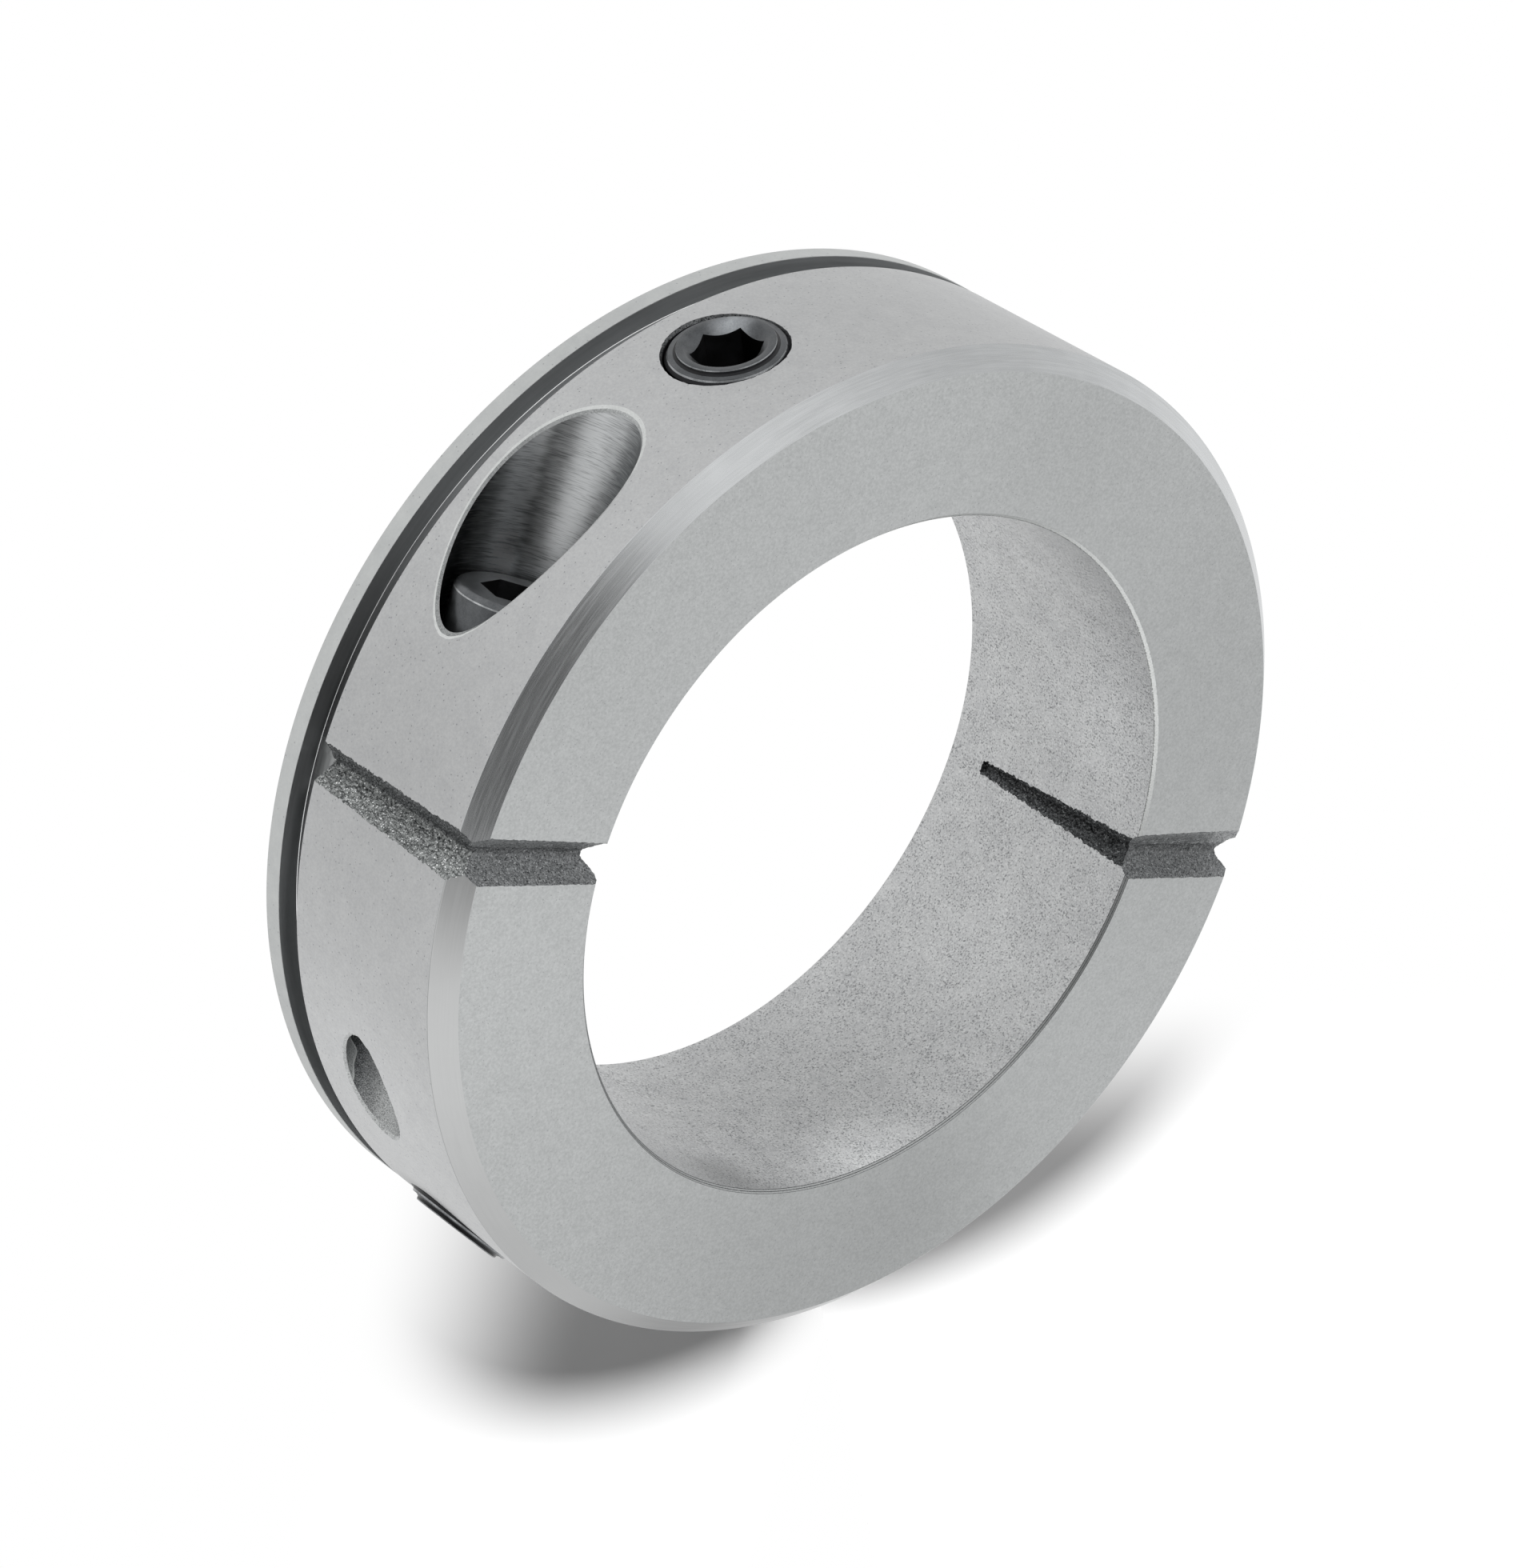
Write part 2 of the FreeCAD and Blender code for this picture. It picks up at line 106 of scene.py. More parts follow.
class Bench:
    """Blender's modelling operators, run on one object at a time."""

    @staticmethod
    def clear() -> None:
        """Deselect everything before a new primitive."""
        for other in bpy.context.view_layer.objects:
            other.select_set(False)

    @staticmethod
    def only(piece: bpy.types.Object) -> None:
        """Select one object and nothing else."""
        Bench.clear()
        piece.select_set(True)
        bpy.context.view_layer.objects.active = piece

    @staticmethod
    def fresh(name: str, skins: "Iterable[Skin]" = ()) -> bpy.types.Object:
        """Name the primitive that was just added, and give it its finishes.

        Args:
            name: The object's name.
            skins: The finishes, each of which gets one material slot.

        Returns:
            The object.
        """
        piece = bpy.context.object
        piece.name = name
        for skin in dict.fromkeys(skins):
            piece.data.materials.append(skin.ready())
        return piece

    @staticmethod
    def edit(piece: bpy.types.Object) -> None:
        """Open one object for editing."""
        Bench.only(piece)
        bpy.ops.object.mode_set(mode="EDIT")

    @staticmethod
    def edit_all(piece: bpy.types.Object) -> None:
        """Open one object for editing, with all of it selected."""
        Bench.edit(piece)
        bpy.ops.mesh.select_all(action="SELECT")

    @staticmethod
    def done() -> None:
        """Close edit mode."""
        bpy.ops.object.mode_set(mode="OBJECT")

    @staticmethod
    def pick(piece: bpy.types.Object, kind: str, test: Callable[[object], bool]) -> None:
        """Select parts of the mesh that is open for editing.

        Args:
            piece: The object in edit mode.
            kind: VERT, EDGE or FACE.
            test: Says of one mesh element whether it is wanted.
        """
        bpy.ops.mesh.select_mode(type=kind)
        bpy.ops.mesh.select_all(action="DESELECT")
        mesh = bmesh.from_edit_mesh(piece.data)
        groups = {"VERT": mesh.verts, "EDGE": mesh.edges, "FACE": mesh.faces}
        for item in groups[kind]:
            if test(item):
                item.select_set(True)
        mesh.select_flush_mode()
        bmesh.update_edit_mesh(piece.data)

    @staticmethod
    def extrude(height: float) -> None:
        """Extrude what is selected upwards."""
        bpy.ops.mesh.extrude_region_move(TRANSFORM_OT_translate={"value": (0.0, 0.0, height)})

    @staticmethod
    def settle(piece: bpy.types.Object) -> None:
        """Put an object's place, turn and size into its mesh."""
        Bench.only(piece)
        bpy.ops.object.transform_apply(location=True, rotation=True, scale=True)

    @staticmethod
    def face_out(piece: bpy.types.Object) -> None:
        """Merge doubles and point every face outwards."""
        Bench.edit_all(piece)
        bpy.ops.mesh.remove_doubles(threshold=1e-7)
        bpy.ops.mesh.normals_make_consistent(inside=False)
        Bench.done()

    @staticmethod
    def apply(piece: bpy.types.Object, modifier: bpy.types.Modifier) -> None:
        """Apply one modifier."""
        Bench.only(piece)
        bpy.ops.object.modifier_apply(modifier=modifier.name)

    @staticmethod
    def cut(piece: bpy.types.Object, tool: bpy.types.Object) -> None:
        """Take a tool's volume out of a piece, leave the tool's finish on the cut, drop the tool.

        Args:
            piece: The piece that is cut.
            tool: A closed mesh, which is deleted afterwards.
        """
        cutting = piece.modifiers.new("cut", "BOOLEAN")
        cutting.operation = "DIFFERENCE"
        cutting.solver = "MANIFOLD"
        cutting.material_mode = "TRANSFER"
        cutting.object = tool
        Bench.apply(piece, cutting)
        bpy.data.objects.remove(tool, do_unlink=True)

    @staticmethod
    def smooth(piece: bpy.types.Object, degrees: float = 32.0) -> None:
        """Shade a piece smooth and keep its edges sharper than an angle."""
        Bench.only(piece)
        bpy.ops.object.shade_smooth_by_angle(angle=math.radians(degrees))

    @staticmethod
    def part(piece: bpy.types.Object, ground: "Iterable[Skin]") -> None:
        """Keep every edge sharp where a cut finish begins, and let the large faces lead the shading.

        Args:
            piece: The shaded piece.
            ground: The finishes that run smoothly into each other.
        """
        names = {skin.value.name for skin in ground}
        cut = {at for at, finish in enumerate(piece.data.materials) if finish.name not in names}

        def begins(edge: bmesh.types.BMEdge) -> bool:
            """Say whether a cut finish meets another one at an edge."""
            kinds = {face.material_index for face in edge.link_faces}
            return len(kinds) > 1 and bool(kinds & cut)

        Bench.edit(piece)
        Bench.pick(piece, "EDGE", begins)
        bpy.ops.mesh.mark_sharp()
        Bench.done()
        lead = piece.modifiers.new("lead", "WEIGHTED_NORMAL")
        lead.keep_sharp = True
        Bench.apply(piece, lead)


class About(Enum):
    """An axis to turn about, as the order of the two coordinates across it and the one along it."""

    BORE = (0, 1, 2)
    CLAMP_SCREW = (0, 2, 1)


@dataclass(frozen=True)
class PaintedLightSpot:
    """A large soft patch of painted light where the gain is above zero and of painted shade where it is below, in
    millimetres.
    """

    centre: Point
    radius: float
    gain: float


class NodeBoard:
    """A node tree, with a short way to add and join its nodes."""

    def __init__(self, name: str, world: bpy.types.World | None = None) -> None:
        """Start an empty tree with an output node, in a new material or in a world."""
        self.material = world or bpy.data.materials.new(name)
        self.material.use_nodes = True
        self.tree = self.material.node_tree
        self.tree.nodes.clear()
        self.output = self.tree.nodes.new("ShaderNodeOutputWorld" if world else "ShaderNodeOutputMaterial")

    def add(self, kind: str, sockets: dict | None = None, **settings: object) -> bpy.types.Node:
        """Add a node.

        Args:
            kind: Blender's node type without its Shader prefix.
            sockets: Input names or numbers, each with a value or another node's output.
            **settings: The node's own properties.

        Returns:
            The new node.
        """
        node = self.tree.nodes.new("ShaderNode" + kind)
        for key, value in settings.items():
            setattr(node, key, value)
        for key, value in (sockets or {}).items():
            if isinstance(value, bpy.types.NodeSocket):
                self.tree.links.new(value, node.inputs[key])
            else:
                node.inputs[key].default_value = value
        return node

    def math(self, operation: str, first: Socket | float, second: Socket | float = 0.0) -> Socket:
        """Join two values by an operation of the Math node."""
        return self.add("Math", {0: first, 1: second}, operation=operation).outputs[0]

    def weigh(self, first: Socket, second: Socket, share: float) -> Socket:
        """Add two values, the second with a share and the first with the rest."""
        return self.math("ADD", self.math("MULTIPLY", first, 1.0 - share), self.math("MULTIPLY", second, share))

    def place(self) -> Socket:
        """Give the surface point in the object's own metres."""
        return self.add("TexCoord").outputs["Object"]

    def parts(self, vector: Socket) -> bpy.types.NodeOutputs:
        """Give a vector's three values."""
        return self.add("SeparateXYZ", {0: vector}).outputs

    def around(self, place: Socket, centre: Point, about: About, angle_scale: float) -> Socket:
        """Give a place as turn about an axis, distance from it and height along it.

        Args:
            place: The point.
            centre: A point on the axis, in millimetres.
            about: The axis.
            angle_scale: Metres that one radian of turn counts for.

        Returns:
            A vector of turn, distance and height.
        """
        foot = tuple(at * MM for at in centre)
        parts = self.parts(self.add("VectorMath", {0: place, 1: foot}, operation="SUBTRACT").outputs[0])
        first, second, height = (parts[at] for at in about.value)
        turn = self.math("MULTIPLY", self.math("ARCTAN2", second, first), angle_scale)
        squares = self.math("ADD", self.math("MULTIPLY", first, first), self.math("MULTIPLY", second, second))
        return self.add("CombineXYZ", {0: turn, 1: self.math("SQRT", squares), 2: height}).outputs[0]

    def noise(self, place: Socket, grain_mm: float, detail: float = 3.0, roughness: float = 0.55) -> Socket:
        """Give cloudy noise with grains of a size in millimetres."""
        sockets = {"Vector": place, "Scale": 1.0 / (grain_mm * MM), "Detail": detail, "Roughness": roughness}
        return self.add("TexNoise", sockets).outputs["Fac"]

    def cells(self, place: Socket, spacing_mm: float) -> bpy.types.NodeOutputs:
        """Give cells of a size in millimetres, each with its distance from the middle and its own colour."""
        return self.add("TexVoronoi", {"Vector": place, "Scale": 1.0 / (spacing_mm * MM)}).outputs

    def ramp(self, value: Socket, low: float, high: float, start: float = 0.0, stop: float = 1.0,
             soft: bool = False) -> Socket:
        """Map a value's range to another, clamped, and evenly or with soft ends."""
        sockets = {"Value": value, "From Min": low, "From Max": high, "To Min": start, "To Max": stop}
        return self.add("MapRange", sockets, interpolation_type="SMOOTHSTEP" if soft else "LINEAR").outputs[0]

    def swing(self, value: Socket, start: float, stop: float) -> Socket:
        """Map the range that a noise mostly keeps to another."""
        return self.ramp(value, 0.3, 0.7, start, stop)

    def blend(self, share: Socket | float, first: object, second: object) -> Socket:
        """Mix two colours by a share."""
        return self.add("Mix", {0: share, 6: first, 7: second}, data_type="RGBA").outputs[2]

    def painted_reflection_round(self, turn: Socket, stops: Tones) -> Socket:
        """Give a painted reflection whose tone changes round an axis.

        Args:
            turn: The turn about the axis, in radians.
            stops: Turns in degrees from the X direction, in order, each with the tone there.

        Returns:
            The painted tone at the turn.
        """
        share = self.add("Math", {0: turn, 1: 0.5 / math.pi, 2: 0.5}, operation="MULTIPLY_ADD").outputs[0]
        ramp = self.add("ValToRGB", {0: share})
        ramp.color_ramp.interpolation = "EASE"
        points = ramp.color_ramp.elements
        given = len(points)
        for number, (degrees, hex_code) in enumerate(stops):
            at = degrees / 360.0 + 0.5
            point = points[number] if number < given else points.new(at)
            point.position, point.color = at, tone(hex_code)
        return ramp.outputs["Color"]

    def with_painted_light(self, colour: Socket, place: Socket, painted_light_spots: Iterable[PaintedLightSpot]) -> Socket:
        """Paint light and shade into a colour in large soft patches.

        Args:
            colour: The colour without patches.
            place: The surface point.
            painted_light_spots: The patches.

        Returns:
            The colour with its painted light and shade.
        """
        for spot in painted_light_spots:
            centre = tuple(at * MM for at in spot.centre)
            far = self.add("VectorMath", {0: place, 1: centre}, operation="DISTANCE").outputs["Value"]
            share = self.ramp(far, spot.radius * MM, 0.0, 1.0, 1.0 + spot.gain, soft=True)
            colour = self.add("VectorMath", {0: colour, "Scale": share}, operation="SCALE").outputs[0]
        return colour

    def close(self, shader: bpy.types.Node) -> None:
        """Join the last shader to the tree's output."""
        self.tree.links.new(shader.outputs[0], self.output.inputs[0])

    def finish(self, colour: Socket, rough: Socket | float, metallic: float, height: Socket,
               relief_mm: float) -> bpy.types.Material:
        """Close the material with a metal shader and a bump.

        Args:
            colour: The colour.
            rough: Roughness.
            metallic: How far the surface is bare metal.
            height: The relief.
            relief_mm: How deep the relief is.

        Returns:
            The finished material.
        """
        bump = self.add("Bump", {"Height": height, "Distance": relief_mm * MM, "Strength": 1.0})
        self.close(self.add("BsdfPrincipled", {
            "Base Color": colour, "Roughness": rough, "Metallic": metallic, "Normal": bump.outputs[0]}))
        return self.material


@dataclass(frozen=True)
class Finish:
    """What every finish has: a name, and patches of painted light and shade."""

    name: str
    painted_light_spots: tuple[PaintedLightSpot, ...] = field(default=(), kw_only=True)

    def material(self) -> bpy.types.Material:
        """Build the finish."""
        raise NotImplementedError


@dataclass(frozen=True)
class TwoTone(Finish):
    """A finish that varies between a light and a dark tone."""

    light: str
    dark: str

    def mixed(self, board: NodeBoard, value: Socket, low: float, high: float) -> Socket:
        """Give the dark tone where a value is low and the light one where it is high."""
        return board.blend(board.ramp(value, low, high), tone(self.dark), tone(self.light))


@dataclass(frozen=True)
class GroundSteel(TwoTone):
    """Satin steel with a fine grain and scattered pin holes."""

    pit: str
    pit_spacing_mm: float
    pit_radius_mm: float
    grain: float
    roughness: float = 0.48
    relief_mm: float = 0.008

    def material(self) -> bpy.types.Material:
        """Build the finish."""
        board = NodeBoard(self.name)
        place = board.place()
        cloud = board.noise(place, grain_mm=2.0, detail=5.0, roughness=0.7)
        grain = board.noise(place, grain_mm=0.26, roughness=0.75)
        body = self.mixed(board, board.weigh(cloud, grain, self.grain), 0.36, 0.64)
        reach = self.pit_radius_mm / self.pit_spacing_mm
        middle = board.cells(place, self.pit_spacing_mm)["Distance"]
        pits = board.ramp(middle, reach, reach * 0.3, stop=0.8)
        colour = board.with_painted_light(board.blend(pits, body, tone(self.pit)), place, self.painted_light_spots)
        rough = board.swing(grain, self.roughness - 0.05, self.roughness + 0.05)
        height = board.math("SUBTRACT", board.math("MULTIPLY", grain, 0.5), pits)
        return board.finish(colour, rough, 1.0, height, self.relief_mm)


@dataclass(frozen=True)
class PittedSteel(TwoTone):
    """Blasted or worn steel covered with fine dark pits and light crumbs."""

    pit: str
    crumb: str
    grain_mm: float
    pits: float = 0.7
    roughness: float = 0.46
    relief_mm: float = 0.02

    def material(self) -> bpy.types.Material:
        """Build the finish."""
        board = NodeBoard(self.name)
        place = board.place()
        cloud = board.noise(place, grain_mm=2.8, detail=4.0, roughness=0.6)
        grain = board.noise(place, self.grain_mm, detail=2.0)
        fine = board.noise(place, grain_mm=0.32, roughness=0.75)
        body = self.mixed(board, board.weigh(cloud, fine, 0.6), 0.38, 0.62)
        crowd = board.ramp(board.noise(place, grain_mm=1.7, roughness=0.6), 0.4, 0.6, -0.022, 0.022)
        pits = board.ramp(board.math("ADD", grain, crowd), 0.44, 0.33, stop=self.pits)
        crumbs = board.ramp(grain, 0.56, 0.68, stop=0.7)
        colour = board.blend(crumbs, board.blend(pits, body, tone(self.pit)), tone(self.crumb))
        height = board.math("SUBTRACT", grain, board.math("MULTIPLY", pits, 0.5))
        return board.finish(board.with_painted_light(colour, place, self.painted_light_spots), self.roughness, 1.0, height, self.relief_mm)


@dataclass(frozen=True)
class TurnedSteel(TwoTone):
    """Turned steel with streaks round the bore."""

    roughness: float
    streak_mm: float = 0.16
    relief_mm: float = 0.006
    metallic: float = 1.0

    def material(self) -> bpy.types.Material:
        """Build the finish."""
        board = NodeBoard(self.name)
        place = board.place()
        streaks = board.noise(board.around(place, (0.0, 0.0, 0.0), About.BORE, 0.0016), self.streak_mm, 4.0, 0.62)
        cloud = board.noise(place, grain_mm=3.0, detail=2.0)
        colour = self.mixed(board, board.weigh(streaks, cloud, 0.25), 0.34, 0.66)
        rough = board.swing(streaks, self.roughness - 0.05, self.roughness + 0.07)
        colour = board.with_painted_light(colour, place, self.painted_light_spots)
        return board.finish(colour, rough, self.metallic, streaks, self.relief_mm)


@dataclass(frozen=True)
class DrilledSteel(Finish):
    """The wall of a bored recess: tool marks round its axis, and a painted reflection whose tone changes with the
    turn.
    """

    centre: Point
    stops: Tones
    scratch: str
    roughness: float = 0.34
    relief_mm: float = 0.006
    squeeze: float = 0.0003

    def material(self) -> bpy.types.Material:
        """Build the finish."""
        board = NodeBoard(self.name)
        place = board.around(board.place(), self.centre, About.CLAMP_SCREW, self.squeeze)
        marks = board.noise(place, grain_mm=0.075, detail=2.0)
        broad = board.noise(place, grain_mm=0.5, detail=2.0, roughness=0.5)
        turn = board.math("DIVIDE", board.parts(place)[0], self.squeeze)
        # Painted reflection: the wall's tone changes with the turn about the recess's axis.
        painted_reflection = board.painted_reflection_round(board.math("ADD", turn, board.swing(broad, -0.05, 0.05)), self.stops)
        lines = board.ramp(marks, 0.52, 0.68, stop=0.25)
        shade = board.ramp(marks, 0.50, 0.32, stop=0.42)
        colour = board.blend(shade, board.blend(lines, painted_reflection, tone(self.scratch)), grey(0.01))
        colour = board.with_painted_light(colour, board.place(), self.painted_light_spots)
        rough = board.swing(marks, self.roughness - 0.06, self.roughness + 0.08)
        return board.finish(colour, rough, 1.0, marks, self.relief_mm)


@dataclass(frozen=True)
class GranularSteel(TwoTone):
    """Rough cast or fractured steel with crumbs and painted crystal glints.

    root is painted shade: it says how much darker the surface is along the split, at the bottom of a notch.
    """

    spark: str
    grain_mm: float
    sparks: float
    specks: float = 0.1
    roughness: float = 0.45
    relief_mm: float = 0.05
    root: float = 0.3
    root_shade_near_mm: float = 0.05
    root_shade_far_mm: float = 0.7

    def material(self) -> bpy.types.Material:
        """Build the finish."""
        board = NodeBoard(self.name)
        place = board.place()
        grain = self.grain_mm * MM
        sway = board.add("TexNoise", {"Vector": place, "Scale": 1.0 / grain, "Detail": 2.0}).outputs["Color"]
        pushed = board.add("VectorMath", {0: sway, 1: (grain * 1.3,) * 3, 2: place}, operation="MULTIPLY_ADD")
        cells = board.cells(pushed.outputs[0], self.grain_mm)
        lot = board.parts(cells["Color"])
        dirt = board.noise(place, self.grain_mm * 1.5, detail=4.0, roughness=0.7)
        colour = self.mixed(board, board.weigh(lot[0], dirt, 0.6), 0.26, 0.68)
        core = board.ramp(cells["Distance"], 0.62, 0.36)
        # Painted glints: bright cells in the colour, where crystals would catch the light.
        bright = board.math("MULTIPLY", board.math("LESS_THAN", lot[1], self.sparks), core)
        colour = board.blend(bright, colour, tone(self.spark))
        black = board.math("MULTIPLY", board.math("LESS_THAN", lot[2], self.specks), core)
        colour = board.blend(board.math("MULTIPLY", black, 0.8), colour, BLUE_BLACK)
        # Painted shade along the split, at the bottom of each notch.
        off_split = board.math("ABSOLUTE", board.parts(place)[1])
        root = board.ramp(off_split, self.root_shade_near_mm * MM, self.root_shade_far_mm * MM, self.root, 0.0)
        colour = board.blend(root, colour, grey(0.0))
        height = board.math("ADD", board.math("MULTIPLY", cells["Distance"], -0.5), dirt)
        return board.finish(board.with_painted_light(colour, place, self.painted_light_spots), self.roughness, 0.9, height, self.relief_mm)


@dataclass(frozen=True)
class LinedSteel(TwoTone):
    """A narrow bevel with thin dark tool lines round the bore."""

    spacing_mm: float
    first_mm: float
    width: float
    broken: float
    roughness: float = 0.4
    relief_mm: float = 0.01

    def material(self) -> bpy.types.Material:
        """Build the finish."""
        board = NodeBoard(self.name)
        place = board.place()
        distance = board.parts(board.around(place, (0.0, 0.0, 0.0), About.BORE, 1.0))[1]
        step = board.math("DIVIDE", board.math("SUBTRACT", distance, self.first_mm * MM), self.spacing_mm * MM)
        wave = board.math("COSINE", board.math("MULTIPLY", step, 2.0 * math.pi))
        grain = board.noise(place, grain_mm=0.14, roughness=0.6)
        lifted = board.math("ADD", wave, board.swing(grain, -self.broken, self.broken))
        line = board.ramp(lifted, 1.0 - 2.0 * self.width, 1.0)
        light = board.blend(board.swing(grain, 0.0, 0.35), tone(self.light), tone(self.dark))
        colour = board.with_painted_light(board.blend(line, light, tone(self.dark)), place, self.painted_light_spots)
        height = board.math("ADD", board.math("MULTIPLY", grain, 0.5), line)
        return board.finish(colour, self.roughness, 1.0, height, self.relief_mm)


@dataclass(frozen=True)
class PaintedLightHoleSteel(Finish):
    """The grainy wall of a tapped hole's exit, with a painted reflection that changes with the turn and a painted
    light patch, the lens, with a painted highlight line along its border.

    The lens begins at a turn that goes over between the two lens_turns, in degrees, from one of the two
    lens_heights to the other. Between the hook_heights it comes back by hook_turn. Heights are in
    millimetres from the split.
    """

    centre: Point
    stops: Tones
    lens: str
    edge: str
    lens_heights: tuple[float, float] = (-23.6, -20.9)
    lens_turns: tuple[float, float] = (-89.0, -132.0)
    hook_heights: tuple[float, float] = (-24.4, -25.6)
    hook_turn: float = 8.0
    roughness: float = 0.45
    relief_mm: float = 0.04

    def material(self) -> bpy.types.Material:
        """Build the finish."""
        board = NodeBoard(self.name)
        place = board.place()
        parts = board.parts(board.around(place, self.centre, About.CLAMP_SCREW, 1.0))
        turn, height = parts[0], parts[2]
        grain = board.noise(place, grain_mm=0.11, roughness=0.7)
        # Painted reflection: the wall's tone changes with the turn about the hole's axis.
        painted_reflection = board.painted_reflection_round(board.math("ADD", turn, board.swing(grain, -0.08, 0.08)), self.stops)
        # The lens is a painted light patch, and line is a painted highlight along its border.
        deep, mouth = (at * MM for at in self.lens_heights)
        bend = board.ramp(height, deep, mouth, *map(math.radians, self.lens_turns), soft=True)
        near, far = (at * MM for at in self.hook_heights)
        border = board.math("ADD", bend, board.ramp(height, near, far, stop=math.radians(self.hook_turn)))
        inside = board.math("SUBTRACT", border, turn)
        light = board.ramp(inside, 0.0, 0.02)
        line = board.math("MULTIPLY", light, board.ramp(inside, 0.09, 0.05))
        colour = board.blend(light, painted_reflection, tone(self.lens))
        colour = board.blend(board.ramp(grain, 0.5, 0.66, stop=0.5), colour, tone(self.edge))
        colour = board.blend(board.ramp(grain, 0.48, 0.34, stop=0.7), colour, grey(0.012))
        colour = board.blend(line, colour, tone(self.edge))
        return board.finish(colour, self.roughness, 0.9, grain, self.relief_mm)


@dataclass(frozen=True)
class ScrewSteel(TwoTone):
    """A screw's smooth surface, plain or blackened."""

    roughness: float = 0.3
    metallic: float = 0.9
    relief_mm: float = 0.004

    def material(self) -> bpy.types.Material:
        """Build the finish."""
        board = NodeBoard(self.name)
        place = board.place()
        cloud = board.noise(place, grain_mm=1.4, detail=4.0, roughness=0.6)
        grain = board.noise(place, grain_mm=0.12, detail=2.0)
        colour = self.mixed(board, board.weigh(cloud, grain, 0.3), 0.35, 0.65)
        colour = board.with_painted_light(colour, place, self.painted_light_spots)
        rough = board.swing(cloud, self.roughness - 0.06, self.roughness + 0.1)
        return board.finish(colour, rough, self.metallic, grain, self.relief_mm)


